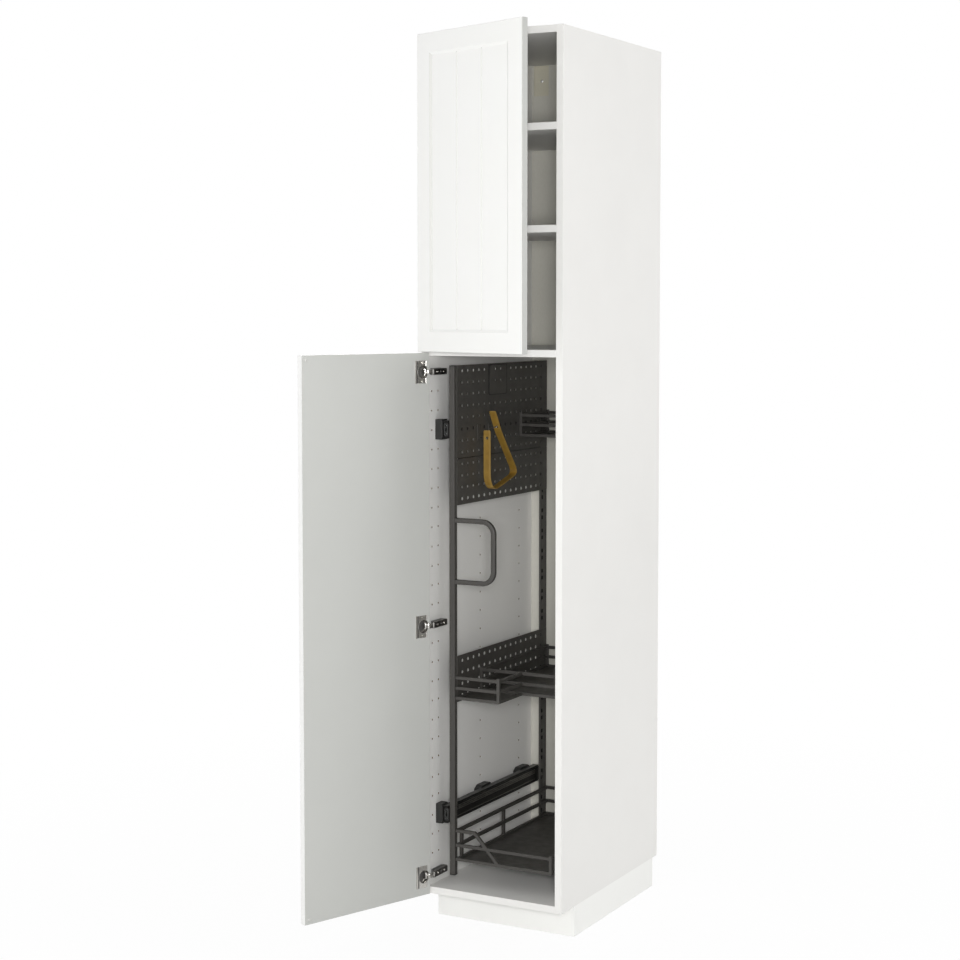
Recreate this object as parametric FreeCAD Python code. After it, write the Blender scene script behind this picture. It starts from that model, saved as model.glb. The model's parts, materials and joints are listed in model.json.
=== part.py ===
import FreeCAD, Part
import math
import os

# A tall fitted kitchen cabinet with two doors and a tall pull-out organiser.
# Lengths are in millimetres and angles in degrees.
# +X points to the right seen from the front, +Y to the wall behind, +Z up.
# The origin lies on the floor under the middle of the carcass.

# Carcass
CARCASS_WIDTH = 400.0
CARCASS_DEPTH = 600.0
CARCASS_HEIGHT = 2200.0
BASE_HEIGHT = 80.0
BOARD = 18.0
BACK_BOARD = 3.0
BACK_INSET = 13.0
GROOVE_DEPTH = 6.0
GROOVE_PLAY = 0.1
COUNT_EASE_SHARE = 0.01
LOWER_BAY_PITCHES = 28
DIVIDER_GAP = 1.0
JOINT_STRIP_HEIGHT = 40.0
JOINT_STRIP_THICKNESS = 2.0

# Rows of system holes on the inner faces of the side panels
ROW_PITCH = 50.0
HOLE_FIRST_SETBACK = 21.0
HOLE_SECOND_SETBACK = 53.0
HOLE_REAR_INSET = 93.0
HOLE_RADIUS = 2.5
HOLE_DEPTH = 13.0
HOLE_SIDES = 4

# Loose shelves and their pins
SHELF_HEIGHT_SHARES = (0.375, 0.6875)
SHELF_SETBACK = 2.0
SHELF_REAR_GAP = 4.0
SHELF_END_PLAY = 0.5
PIN_PLAY = 0.05
PIN_SIDES = 8
PIN_REACH = 9.0
PIN_GRIP = 12.0
NOTCH_WIDTH = 6.0
NOTCH_LENGTH = 10.0

# Wall fixing plates behind the upper back panel
WALL_PLATE_THICKNESS = 2.0
WALL_PLATE_WIDTH = 58.0
WALL_PLATE_HEIGHT = 104.0
WALL_PLATE_FLANGE = 10.0
WALL_PLATE_TOP_DROP = 5.0
WALL_WINDOW_NEAR = 5.0
WALL_WINDOW_FAR = 51.0
WALL_WINDOW_HEIGHT = 83.0
WALL_HOLE_RADIUS = 4.0
WALL_HOLE_INSET = 28.0
WALL_HOLE_DROP = 60.0

# Plinth and levelling legs
PLINTH_THICKNESS = 16.0
PLINTH_SETBACK = 79.0
PLINTH_SIDE_INSET = 2.0
PLINTH_SIDE_REAR = 25.0
PLINTH_TOP_PLAY = 0.3
LEG_SIDE_INSET = 50.0
LEG_FRONT_SETBACK = 130.0
LEG_REAR_INSET = 60.0
SLEEVE_RADIUS = 16.0
SLEEVE_BOTTOM = 12.0
SLEEVE_SIDES = 12
SLEEVE_FLANGE_RADIUS = 28.0
SLEEVE_FLANGE_THICKNESS = 4.0
SLEEVE_FLANGE_SIDES = 16
STEM_RADIUS = 8.0
STEM_PLAY = 0.08
STEM_SIDES = 12
STEM_TOP = 56.0
STEM_BORE_TOP = 60.0
PAD_RADIUS = 25.0
PAD_THICKNESS = 8.0
PAD_SIDES = 16
COLLAR_RADIUS = 12.0
COLLAR_TOP = 11.7
COLLAR_SIDES = 12
CLIP_PLAY = 0.1
CLIP_WALL = 3.0
CLIP_BOTTOM = 34.0
CLIP_HEIGHT = 16.0
CLIP_FOOT_HALF = 14.0
CLIP_FOOT_THICKNESS = 3.0
CLIP_ARM_HALF = 5.0

# Doors
DOOR_THICKNESS = 18.5
DOOR_STANDOFF = 2.0
DOOR_REVEAL = 1.5
DOOR_CHAMFER = 1.5
STILE = 50.0
FIELD_DEPTH = 4.0
FIELD_BEVEL = 7.0
FIELD_GROOVE_WIDTH = 5.0
FIELD_GROOVE_DEPTH = 2.2
FIELD_BOARDS = 3
BUMPER_RADIUS = 4.0
BUMPER_THICKNESS = 1.9
BUMPER_INSET = 12.0
BUMPER_SIDES = 8
LOWER_DOOR_ANGLE = 110.5
UPPER_DOOR_ANGLE = 20.9

# Concealed hinges, in plan from the side panel's inner front corner, door shut
ARM_PIVOT = (13.03, 4.68)
CUP_PIVOT = (-7.0, -7.0)
LINK_TURN_SHARE = 0.262
LINK_CRANK_LOW = (1.6, -11.5)
LINK_CRANK_HIGH = (6.6, -5.8)
LINK_THICKNESS = 3.0
LINK_EYE_RADIUS = 3.3
LINK_EYE_SIDES = 8
LINK_HALF_HEIGHT = 6.0
HINGE_PIN_RADIUS = 1.8
HINGE_PIN_PLAY = 0.05
HINGE_PIN_SIDES = 8
CUP_PIVOT_OFFSET = 11.0
CUP_RADIUS = 17.5
CUP_BORE_RADIUS = 16.8
CUP_DEPTH = 12.6
CUP_FLOOR = 0.6
CUP_POCKET_PLAY = 0.1
CUP_SIDES = 16
CUP_EAR_INNER = 6.2
CUP_EAR_OUTER = 8.2
CUP_EAR_BACK = 3.4
CUP_EAR_FRONT = 4.4
CUP_EAR_RISE = 3.0
CUP_FLANGE_HALF_HEIGHT = 28.5
CUP_FLANGE_HALF_WIDTH = 11.0
CUP_FLANGE_THICKNESS = 1.0
SCREW_HEAD_RADIUS = 3.4
SCREW_HEAD_HEIGHT = 1.0
SCREW_SIDES = 8
ARM_WALL_INNER = 6.2
ARM_WALL_OUTER = 7.7
ARM_NOSE_RADIUS = 3.5
ARM_NOSE_STEPS = 5
ARM_WEB_THICKNESS = 1.5
ARM_WEB_FRONT = 10.0
ARM_REAR = 71.0
ARM_SHOULDER = 14.0
HINGE_PLATE_THICKNESS = 2.5
HINGE_PLATE_HALF_HEIGHT = 9.0
HINGE_PLATE_FRONT = 12.0
HINGE_PLATE_REAR = 66.0
HINGE_PLATE_CORE_HALF = 5.8

# Telescopic runners of the pull-out
LOWER_RUNNER_RISE = 159.0
UPPER_RUNNER_DROP = 165.0
RUNNER_FRONT_SETBACK = 38.0
RUNNER_REAR_GAP = 42.0
RUNNER_STANDOFF = 19.0
RUNNER_SHEET = 1.5
RUNNER_PLAY = 0.4
RUNNER_INNER_GAP = 1.1
RUNNER_OUTER_HEIGHT = 45.0
RUNNER_OUTER_DEPTH = 17.0
RUNNER_MIDDLE_HEIGHT = 41.2
RUNNER_MIDDLE_DEPTH = 15.5
RUNNER_INNER_HEIGHT = 37.4
RUNNER_INNER_DEPTH = 15.8
BRACKET_HALF_HEIGHT = 26.0
BRACKET_LENGTH = 30.0
BRACKET_WALL = 2.0
RUNNER_CLIP_BASE_HALF = 35.0
RUNNER_CLIP_TOP_HALF = 22.0
RUNNER_CLIP_BOTTOM = 18.0
RUNNER_CLIP_SHOULDER = 18.0
RUNNER_CLIP_TOP = 27.0

# Posts of the pull-out
POST_WIDTH = 15.0
POST_FLOOR_GAP = 24.0
POST_TOP_GAP = 25.0
POST_WALL = 1.5
FRONT_POST_SETBACK = 42.0
FRONT_POST_DEPTH = 15.0
REAR_POST_LAP = 24.0
REAR_POST_DEPTH = 36.0
POST_CAP_THICKNESS = 3.0
SLOT_WIDTH = 6.0
SLOT_HEIGHT = 19.0
SLOT_PITCH = 56.6
SLOT_RISE = 41.0
SLOT_FROM_FRONT = 9.0

# Perforated sheets between the posts
SHEET = 1.5
SHEET_FRONT_LAP = 3.0
SHEET_REAR_INSET = 2.0
PERFORATION_PITCH = 30.0
PERFORATION_RADIUS = 3.0
PERFORATION_SIDES = 5
PERFORATION_INSET = 26.4
TOP_ROW_DROP = 15.0
TOP_SHEET_ROWS = 8
SECOND_SHEET_ROWS = 4
SHEET_GAP = 1.0
MIDDLE_LEVEL_SHARE = 0.4328
MIDDLE_SHEET_ROWS = 4
HOLDER_FIRST_COLUMN = 5
HOLDER_WIDTH = 94.0
HOLDER_HEIGHT = 76.0
HOLDER_TOP_DROP = 5.0
HOLDER_EDGE = 2.4
HOLDER_ROWS = (0, 1)
HOLDER_COLUMNS = (6, 7)

# Handle of the pull-out
HANDLE_BAR = 12.0
HANDLE_DROP = 32.0
HANDLE_HEIGHT = 171.0
HANDLE_REACH = 116.0
HANDLE_CORNER = 38.0
HANDLE_CORNER_STEPS = 7

# Baskets
BAR = 8.0
BASKET_SIDE_GAP = 32.0
FLOOR_SHEET = 2.0
LOW_BASKET_RISES = (42.0, 79.0, 117.0)
LOW_BASKET_BARS = (72.0, 305.0)
LOW_BASKET_SLOPE_START = 55.0
LOW_BASKET_SLOPE_END = 124.0
MIDDLE_RAIL_DROPS = (108.0, 82.0, 55.0)
MIDDLE_SPLIT_SETBACK = 175.0
MIDDLE_FRONT_REACH = 128.0
TOP_RAIL_DROPS = (199.0, 171.0, 145.0)
TOP_BASKET_DEPTH = 168.0
KNOB_RISE = 8.0

# Hanging strap and its hooks
STRAP_WIDTH = 20.0
STRAP_THICKNESS = 2.0
STRAP_OFFSET = 13.5
STRAP_SPREAD = 160.0
STRAP_DROP = 200.0
STRAP_DEPTH_SHARES = (-0.15875, 0.0225, 0.66, 0.0475, -0.19, -0.34625, -0.34625)
STRAP_HEIGHT_SHARES = (0.18, -0.065, -0.66, -0.8, -0.84, -0.715, -0.07)
STRAP_BENDS = (0.0, 8.0, 24.0, 14.0, 14.0, 18.0, 0.0)
STRAP_BEND_STEPS = 3
STRAP_SLOT_WIDTH = 8.0
STRAP_SLOT_LENGTH = 7.0
STRAP_PLAY = 0.3
HOOK_ROW = 5
HOOK_COLUMNS = (5, 3)
HOOK_PLATE_WIDTH = 18.0
HOOK_PLATE_THICKNESS = 1.5
HOOK_PLATE_ABOVE = 8.0
HOOK_PLATE_BELOW = 34.0
HOOK_TONGUE_RADIUS = 2.2
HOOK_TONGUE_HEAD = 3.4
HOOK_TONGUE_HEAD_THICKNESS = 1.5
HOOK_BAR = 3.0
HOOK_PEG_LENGTH = 5.0
HOOK_PEG_WIDTH = 3.0
HOOK_SIDES = 6
HOOK_DROPS = (1.0, 28.0)

# Places that follow from the sizes above
LEFT = -CARCASS_WIDTH / 2
RIGHT = CARCASS_WIDTH / 2
INNER_LEFT = LEFT + BOARD
INNER_RIGHT = RIGHT - BOARD
FRONT = -CARCASS_DEPTH / 2
REAR = CARCASS_DEPTH / 2
TOP = BASE_HEIGHT + CARCASS_HEIGHT
BACK_REAR = REAR - BACK_INSET
BACK_FRONT = BACK_REAR - BACK_BOARD
DIVIDER_MIDDLE = BASE_HEIGHT + LOWER_BAY_PITCHES * ROW_PITCH
ALL_PITCHES = math.floor(CARCASS_HEIGHT / ROW_PITCH + COUNT_EASE_SHARE)
LAST_ROW = ALL_PITCHES - 1
HOLE_REAR_SETBACK = CARCASS_DEPTH - HOLE_REAR_INSET
HOLE_MIDDLE_SETBACK = (HOLE_SECOND_SETBACK + HOLE_REAR_SETBACK) / 2
HOLE_SETBACKS = (HOLE_FIRST_SETBACK, HOLE_SECOND_SETBACK, HOLE_MIDDLE_SETBACK, HOLE_REAR_SETBACK)
SHELF_PIN_SETBACKS = (HOLE_FIRST_SETBACK, HOLE_REAR_SETBACK)
UPPER_PITCHES = ALL_PITCHES - LOWER_BAY_PITCHES
SHELF_ROWS = tuple(LOWER_BAY_PITCHES + round(share * UPPER_PITCHES) for share in SHELF_HEIGHT_SHARES)
LOWER_HINGE_ROWS = (1, LOWER_BAY_PITCHES // 2, LOWER_BAY_PITCHES - 1)
UPPER_HINGE_ROWS = (LOWER_BAY_PITCHES + 1, LAST_ROW)
PULL_LEFT = INNER_LEFT + RUNNER_STANDOFF + RUNNER_SHEET + RUNNER_PLAY + RUNNER_MIDDLE_DEPTH
POST_LEFT = PULL_LEFT + RUNNER_INNER_GAP + RUNNER_SHEET
POST_RIGHT = POST_LEFT + POST_WIDTH
SHEET_RIGHT = POST_RIGHT + SHEET
POST_FRONT = FRONT + FRONT_POST_SETBACK
RUNNER_FRONT = FRONT + RUNNER_FRONT_SETBACK
RUNNER_REAR = REAR - RUNNER_REAR_GAP
REAR_POST_FRONT = RUNNER_REAR - REAR_POST_LAP
SHEET_FRONT = POST_FRONT + FRONT_POST_DEPTH - SHEET_FRONT_LAP
SHEET_REAR = REAR_POST_FRONT + REAR_POST_DEPTH - SHEET_REAR_INSET
BASKET_FRONT = POST_FRONT + BAR
BASKET_REAR = SHEET_REAR
BASKET_RIGHT = INNER_RIGHT - BASKET_SIDE_GAP
POST_BOTTOM = BASE_HEIGHT + BOARD + POST_FLOOR_GAP
POST_TOP = DIVIDER_MIDDLE - BOARD / 2 - POST_TOP_GAP
RUNNER_HEIGHTS = (POST_BOTTOM + LOWER_RUNNER_RISE, POST_TOP - UPPER_RUNNER_DROP)
MIDDLE_SHEET_TOP = POST_BOTTOM + MIDDLE_LEVEL_SHARE * (POST_TOP - POST_BOTTOM)
LOW_BASKET_RAILS = tuple(POST_BOTTOM + rise for rise in LOW_BASKET_RISES)
MIDDLE_RAILS = tuple(MIDDLE_SHEET_TOP - drop for drop in MIDDLE_RAIL_DROPS)
TOP_RAILS = tuple(POST_TOP - drop for drop in TOP_RAIL_DROPS)
DOOR_WIDTH = CARCASS_WIDTH - 2 * DOOR_REVEAL


def vec(x, y, z):
    """Return a vector."""
    return FreeCAD.Vector(x, y, z)


def block(x0, x1, y0, y1, z0, z1):
    """Return a block between two corners."""
    return Part.makeBox(x1 - x0, y1 - y0, z1 - z0, vec(x0, y0, z0))


def face_of(points):
    """Return the flat face inside a closed run of points."""
    return Part.Face(Part.makePolygon(list(points) + [points[0]]))


def plan_prism(points, z0, z1):
    """Return an upright prism over points in plan."""
    return face_of([vec(x, y, z0) for x, y in points]).extrude(vec(0, 0, z1 - z0))


def side_prism(points, x0, x1):
    """Return a prism along X over points given as (y, z)."""
    return face_of([vec(x0, y, z) for y, z in points]).extrude(vec(x1 - x0, 0, 0))


def equal_area_radius(radius, sides):
    """Return the corner radius of a polygon that has the area of a circle."""
    return radius * math.sqrt(2 * math.pi / (sides * math.sin(2 * math.pi / sides)))


def ring_points(a, b, radius, sides):
    """Return the corners of a regular polygon around (a, b)."""
    turn = 2 * math.pi / sides
    corners = [(index + 0.5) * turn for index in range(sides)]
    return [(a + radius * math.cos(angle), b + radius * math.sin(angle)) for angle in corners]


def rod(x, y, z0, z1, radius, sides):
    """Return an upright few-sided rod."""
    return plan_prism(ring_points(x, y, radius, sides), z0, z1)


def bore_radius(radius, play, sides):
    """Return the corner radius of a few-sided bore that clears a turning rod."""
    return (radius + play) / math.cos(math.pi / sides)


def front_disc(x, y0, y1, z, radius, sides):
    """Return a few-sided disc with its axis along Y."""
    corners = [vec(a, y0, b) for a, b in ring_points(x, z, radius, sides)]
    return face_of(corners).extrude(vec(0, y1 - y0, 0))


def side_stub(x0, x1, y, z, radius, sides):
    """Return a few-sided rod along X."""
    return side_prism(ring_points(y, z, radius, sides), x0, x1)


def joined(shapes):
    """Return one solid made of touching or crossing shapes."""
    return shapes[0].multiFuse(shapes[1:]).removeSplitter()


def drilled(shape, tools):
    """Return a shape with all tools cut away."""
    return shape.cut(Part.makeCompound(tools))


def turned(point, centre, degrees):
    """Return a plan point turned about another, anticlockwise from above."""
    angle = math.radians(degrees)
    dx = point[0] - centre[0]
    dy = point[1] - centre[1]
    x = centre[0] + dx * math.cos(angle) - dy * math.sin(angle)
    y = centre[1] + dx * math.sin(angle) + dy * math.cos(angle)
    return (x, y)


def mirrored(shape):
    """Return the mirror image across the cabinet's middle plane."""
    return shape.mirror(vec(0, 0, 0), vec(1, 0, 0))


def save(name, shapes):
    """Write one node, a single solid or a group of separate ones."""
    shape = shapes[0] if len(shapes) == 1 else Part.makeCompound(shapes)
    shape.exportStep("parts/" + name + ".step")


def row_height(row):
    """Return the height of a row of system holes."""
    return BASE_HEIGHT + row * ROW_PITCH


def side_panel():
    """Return the left side panel with its holes and back groove."""
    panel = block(LEFT, INNER_LEFT, FRONT, REAR, BASE_HEIGHT, TOP)
    radius = equal_area_radius(HOLE_RADIUS, HOLE_SIDES)
    x0 = INNER_LEFT - HOLE_DEPTH
    tools = []
    for setback in HOLE_SETBACKS:
        for row in range(1, LAST_ROW + 1):
            y = FRONT + setback
            z = row_height(row)
            if row == LOWER_BAY_PITCHES:
                continue
            if row in SHELF_ROWS and setback in SHELF_PIN_SETBACKS:
                tools.append(side_stub(x0, INNER_LEFT, y, z, HOLE_RADIUS, PIN_SIDES))
            else:
                tools.append(side_stub(x0, INNER_LEFT, y, z, radius, HOLE_SIDES))
    groove_x = INNER_LEFT - GROOVE_DEPTH
    y0 = BACK_FRONT - GROOVE_PLAY
    y1 = BACK_REAR + GROOVE_PLAY
    tools.append(block(groove_x, INNER_LEFT, y0, y1, BASE_HEIGHT, TOP))
    return drilled(panel, tools)


def fixed_board_middles():
    """Return the middle heights of the bottom, the divider and the top."""
    return (BASE_HEIGHT + BOARD / 2, DIVIDER_MIDDLE, TOP - BOARD / 2)


def fixed_board(middle):
    """Return a fixed board around its middle height."""
    z0 = middle - BOARD / 2
    return block(INNER_LEFT, INNER_RIGHT, FRONT, BACK_FRONT, z0, z0 + BOARD)


def loose_shelf(row):
    """Return a shelf whose end notches sit on four pins."""
    half = INNER_RIGHT - SHELF_END_PLAY
    z0 = row_height(row) - HOLE_RADIUS
    y0 = FRONT + SHELF_SETBACK
    shelf = block(-half, half, y0, BACK_FRONT - SHELF_REAR_GAP, z0, z0 + BOARD)
    notch_top = row_height(row) + (HOLE_RADIUS - PIN_PLAY) * math.cos(math.pi / PIN_SIDES)
    tools = []
    for setback in SHELF_PIN_SETBACKS:
        y = FRONT + setback
        for side in (-1, 1):
            x0 = min(side * half, side * (half - NOTCH_LENGTH))
            x1 = x0 + NOTCH_LENGTH
            tools.append(block(x0, x1, y - NOTCH_WIDTH / 2, y + NOTCH_WIDTH / 2, z0, notch_top))
    return drilled(shelf, tools)


def shelf_pins():
    """Return the pins under the loose shelves."""
    pins = []
    for row in SHELF_ROWS:
        for setback in SHELF_PIN_SETBACKS:
            y = FRONT + setback
            x0 = INNER_LEFT - PIN_GRIP
            x1 = INNER_LEFT + PIN_REACH
            pin = side_stub(x0, x1, y, row_height(row), HOLE_RADIUS - PIN_PLAY, PIN_SIDES)
            pins.append(pin)
            pins.append(mirrored(pin))
    return pins


def back_panel(z0, z1):
    """Return one plain back panel."""
    half = INNER_RIGHT + GROOVE_DEPTH - GROOVE_PLAY
    return block(-half, half, BACK_FRONT, BACK_REAR, z0, z1)


def upper_back_panel():
    """Return the upper back panel with its two wall fixing windows."""
    panel = back_panel(DIVIDER_MIDDLE + DIVIDER_GAP / 2, TOP)
    z1 = TOP - BOARD
    z0 = z1 - WALL_WINDOW_HEIGHT
    near = INNER_RIGHT - WALL_WINDOW_NEAR
    far = INNER_RIGHT - WALL_WINDOW_FAR
    window = block(far, near, BACK_FRONT, BACK_REAR, z0, z1)
    return drilled(panel, [window, mirrored(window)])


def joint_strip():
    """Return the strip that joins the two back panels at the rear."""
    z0 = DIVIDER_MIDDLE - JOINT_STRIP_HEIGHT / 2
    y1 = BACK_REAR + JOINT_STRIP_THICKNESS
    return block(INNER_LEFT, INNER_RIGHT, BACK_REAR, y1, z0, z0 + JOINT_STRIP_HEIGHT)


def wall_plates():
    """Return the two angle plates that take the wall screws."""
    z1 = TOP - WALL_PLATE_TOP_DROP
    z0 = z1 - WALL_PLATE_HEIGHT
    y0 = BACK_REAR
    y1 = y0 + WALL_PLATE_THICKNESS
    web = block(INNER_LEFT, INNER_LEFT + WALL_PLATE_WIDTH, y0, y1, z0, z1)
    flange = block(INNER_LEFT, INNER_LEFT + WALL_PLATE_THICKNESS, y0, y0 + WALL_PLATE_FLANGE, z0, z1)
    centre = vec(INNER_LEFT + WALL_HOLE_INSET, y0, TOP - WALL_HOLE_DROP)
    hole = Part.makeCylinder(WALL_HOLE_RADIUS, WALL_PLATE_THICKNESS, centre, vec(0, 1, 0))
    plate = drilled(joined([web, flange]), [hole])
    return [plate, mirrored(plate)]


def plinth_front():
    """Return the plinth's front board."""
    half = CARCASS_WIDTH / 2 - PLINTH_SIDE_INSET
    y0 = FRONT + PLINTH_SETBACK
    return block(-half, half, y0, y0 + PLINTH_THICKNESS, 0, BASE_HEIGHT - PLINTH_TOP_PLAY)


def plinth_side():
    """Return the plinth's right side board."""
    x1 = CARCASS_WIDTH / 2 - PLINTH_SIDE_INSET
    y0 = FRONT + PLINTH_SETBACK + PLINTH_THICKNESS
    y1 = REAR - PLINTH_SIDE_REAR
    return block(x1 - PLINTH_THICKNESS, x1, y0, y1, 0, BASE_HEIGHT - PLINTH_TOP_PLAY)


def leg_places():
    """Return the plan places of the legs by name."""
    names = ("front_left", "front_right", "rear_left", "rear_right")
    half = CARCASS_WIDTH / 2 - LEG_SIDE_INSET
    rows = (FRONT + LEG_FRONT_SETBACK, REAR - LEG_REAR_INSET)
    places = [(side * half, y) for y in rows for side in (-1, 1)]
    return dict(zip(names, places))


def leg_sleeve(x, y):
    """Return the fixed upper half of a leg."""
    flange_bottom = BASE_HEIGHT - SLEEVE_FLANGE_THICKNESS
    sleeve = rod(x, y, SLEEVE_BOTTOM, BASE_HEIGHT, SLEEVE_RADIUS, SLEEVE_SIDES)
    flange = rod(x, y, flange_bottom, BASE_HEIGHT, SLEEVE_FLANGE_RADIUS, SLEEVE_FLANGE_SIDES)
    radius = bore_radius(STEM_RADIUS, STEM_PLAY, STEM_SIDES)
    bore = rod(x, y, SLEEVE_BOTTOM, STEM_BORE_TOP, radius, STEM_SIDES)
    return drilled(joined([sleeve, flange]), [bore])


def foot(x, y):
    """Return the turning foot of a leg."""
    pad = rod(x, y, 0, PAD_THICKNESS, PAD_RADIUS, PAD_SIDES)
    collar = rod(x, y, PAD_THICKNESS, COLLAR_TOP, COLLAR_RADIUS, COLLAR_SIDES)
    stem = rod(x, y, COLLAR_TOP, STEM_TOP, STEM_RADIUS, STEM_SIDES)
    return joined([pad, collar, stem])


def plinth_clip(x, y):
    """Return the clip that holds the plinth to a front leg."""
    z1 = CLIP_BOTTOM + CLIP_HEIGHT
    radius = SLEEVE_RADIUS + CLIP_PLAY
    board_rear = FRONT + PLINTH_SETBACK + PLINTH_THICKNESS
    ring = rod(x, y, CLIP_BOTTOM, z1, radius + CLIP_WALL, SLEEVE_SIDES)
    half = CLIP_FOOT_HALF
    foot_rear = board_rear + CLIP_FOOT_THICKNESS
    plate = block(x - half, x + half, board_rear, foot_rear, CLIP_BOTTOM, z1)
    arm = block(x - CLIP_ARM_HALF, x + CLIP_ARM_HALF, board_rear, y, CLIP_BOTTOM, z1)
    bore = rod(x, y, CLIP_BOTTOM, z1, radius, SLEEVE_SIDES)
    return drilled(joined([ring, plate, arm]), [bore])


def door_left():
    """Return the X place of a shut door's hinge edge."""
    return -DOOR_WIDTH / 2


def door_back():
    """Return the Y place of a shut door's inner face."""
    return FRONT - DOOR_STANDOFF


def shut_door(z0, z1, hinge_heights):
    """Return a door in its shut place, milled in front and bored behind."""
    x0 = door_left()
    x1 = x0 + DOOR_WIDTH
    y1 = door_back()
    y0 = y1 - DOOR_THICKNESS
    door = block(x0, x1, y0, y1, z0, z1)
    front_edges = [edge for edge in door.Edges if max(v.Point.y for v in edge.Vertexes) < y0 + FIELD_DEPTH]
    door = door.makeChamfer(DOOR_CHAMFER, front_edges)
    tools = [door_field(x0, x1, y0, z0, z1)]
    floor = y0 + FIELD_DEPTH
    inner_left = x0 + STILE + FIELD_BEVEL
    inner_right = x1 - STILE - FIELD_BEVEL
    pitch = (inner_right - inner_left) / FIELD_BOARDS
    for index in range(1, FIELD_BOARDS):
        middle = inner_left + index * pitch
        half = FIELD_GROOVE_WIDTH / 2
        corners = ((middle - half, floor), (middle + half, floor), (middle, floor + FIELD_GROOVE_DEPTH))
        tools.append(plan_prism(corners, z0 + STILE + FIELD_BEVEL, z1 - STILE - FIELD_BEVEL))
    cup_x = cup_middle()
    for z in hinge_heights:
        floor = y1 - CUP_DEPTH - CUP_POCKET_PLAY
        tools.append(front_disc(cup_x, floor, y1, z, CUP_RADIUS + CUP_POCKET_PLAY, CUP_SIDES))
    return drilled(door, tools)


def door_field(x0, x1, y0, z0, z1):
    """Return the bevelled sunk field of a door as a cutting tool."""
    loops = []
    for inset, y in ((STILE, y0), (STILE + FIELD_BEVEL, y0 + FIELD_DEPTH)):
        low_x = x0 + inset
        high_x = x1 - inset
        low_z = z0 + inset
        high_z = z1 - inset
        corners = ((low_x, low_z), (high_x, low_z), (high_x, high_z), (low_x, high_z))
        loop = [vec(x, y, z) for x, z in corners]
        loops.append(Part.makePolygon(loop + [loop[0]]))
    return Part.makeLoft(loops, True, True)


def bumpers(z0, z1):
    """Return the two soft bumpers on a shut door's free edge."""
    x = door_left() + DOOR_WIDTH - BUMPER_INSET
    y = door_back()
    solids = []
    for z in (z0 + BUMPER_INSET, z1 - BUMPER_INSET):
        solids.append(front_disc(x, y, y + BUMPER_THICKNESS, z, BUMPER_RADIUS, BUMPER_SIDES))
    return solids


def arm_pivot():
    """Return the plan place of the pivot on the cabinet."""
    return (INNER_LEFT + ARM_PIVOT[0], FRONT + ARM_PIVOT[1])


def cup_pivot():
    """Return the plan place of the pivot in the shut door's cup."""
    return (INNER_LEFT + CUP_PIVOT[0], FRONT + CUP_PIVOT[1])


def cup_middle():
    """Return the X place of the middle of a shut door's cup."""
    return cup_pivot()[0] + CUP_PIVOT_OFFSET


def cup_pivot_at(opening):
    """Return the plan place of the cup pivot for a door opening."""
    return turned(cup_pivot(), arm_pivot(), LINK_TURN_SHARE * opening)


def link_placed(shape, opening):
    """Return a link moved from the shut place to a door opening."""
    moved = shape.copy()
    x, y = arm_pivot()
    moved.rotate(vec(x, y, 0), vec(0, 0, 1), LINK_TURN_SHARE * opening)
    return moved


def door_placed(shape, opening):
    """Return a door piece moved from the shut place to a door opening."""
    moved = shape.copy()
    x0, y0 = cup_pivot()
    x1, y1 = cup_pivot_at(opening)
    moved.translate(vec(x1 - x0, y1 - y0, 0))
    moved.rotate(vec(x1, y1, 0), vec(0, 0, 1), -opening)
    return moved


def hinge_plate(z):
    """Return the mounting plate of one hinge."""
    x0 = INNER_LEFT
    x1 = x0 + HINGE_PLATE_THICKNESS
    y0 = FRONT + HINGE_PLATE_FRONT
    y1 = FRONT + HINGE_PLATE_REAR
    half = HINGE_PLATE_HALF_HEIGHT
    base = block(x0, x1, y0, y1, z - half, z + half)
    pivot_x = arm_pivot()[0]
    core_right = pivot_x + ARM_NOSE_RADIUS - ARM_WEB_THICKNESS
    core_front = y0 + LINK_THICKNESS
    core_half = HINGE_PLATE_CORE_HALF
    core = block(x1, core_right, core_front, y1, z - core_half, z + core_half)
    return joined([base, core])


def nose_points(centre):
    """Return plan points around the arm's nose, front side."""
    points = []
    for index in range(ARM_NOSE_STEPS + 1):
        angle = math.pi * (1 + index / ARM_NOSE_STEPS)
        x = centre[0] + ARM_NOSE_RADIUS * math.cos(angle)
        y = centre[1] + ARM_NOSE_RADIUS * math.sin(angle)
        points.append((x, y))
    return points


def hinge_arm(z):
    """Return the arm of one hinge with its pin and two screw heads."""
    pivot = arm_pivot()
    x0 = INNER_LEFT + HINGE_PLATE_THICKNESS
    x1 = pivot[0] + ARM_NOSE_RADIUS
    y1 = FRONT + ARM_REAR
    shoulder = FRONT + ARM_SHOULDER
    outline = nose_points(pivot) + [(x1, y1), (x0, y1), (x0, shoulder)]
    pieces = []
    for low, high in ((-ARM_WALL_OUTER, -ARM_WALL_INNER), (ARM_WALL_INNER, ARM_WALL_OUTER)):
        pieces.append(plan_prism(outline, z + low, z + high))
    web_x = x1 - ARM_WEB_THICKNESS
    web_y = FRONT + ARM_WEB_FRONT
    pieces.append(block(web_x, x1, web_y, y1, z - ARM_WALL_OUTER, z + ARM_WALL_OUTER))
    pieces.append(hinge_pin(pivot, z, ARM_WALL_OUTER))
    for setback in HOLE_SETBACKS[:2]:
        y = FRONT + setback
        pieces.append(side_stub(x1, x1 + SCREW_HEAD_HEIGHT, y, z, SCREW_HEAD_RADIUS, SCREW_SIDES))
    return joined(pieces)


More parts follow.
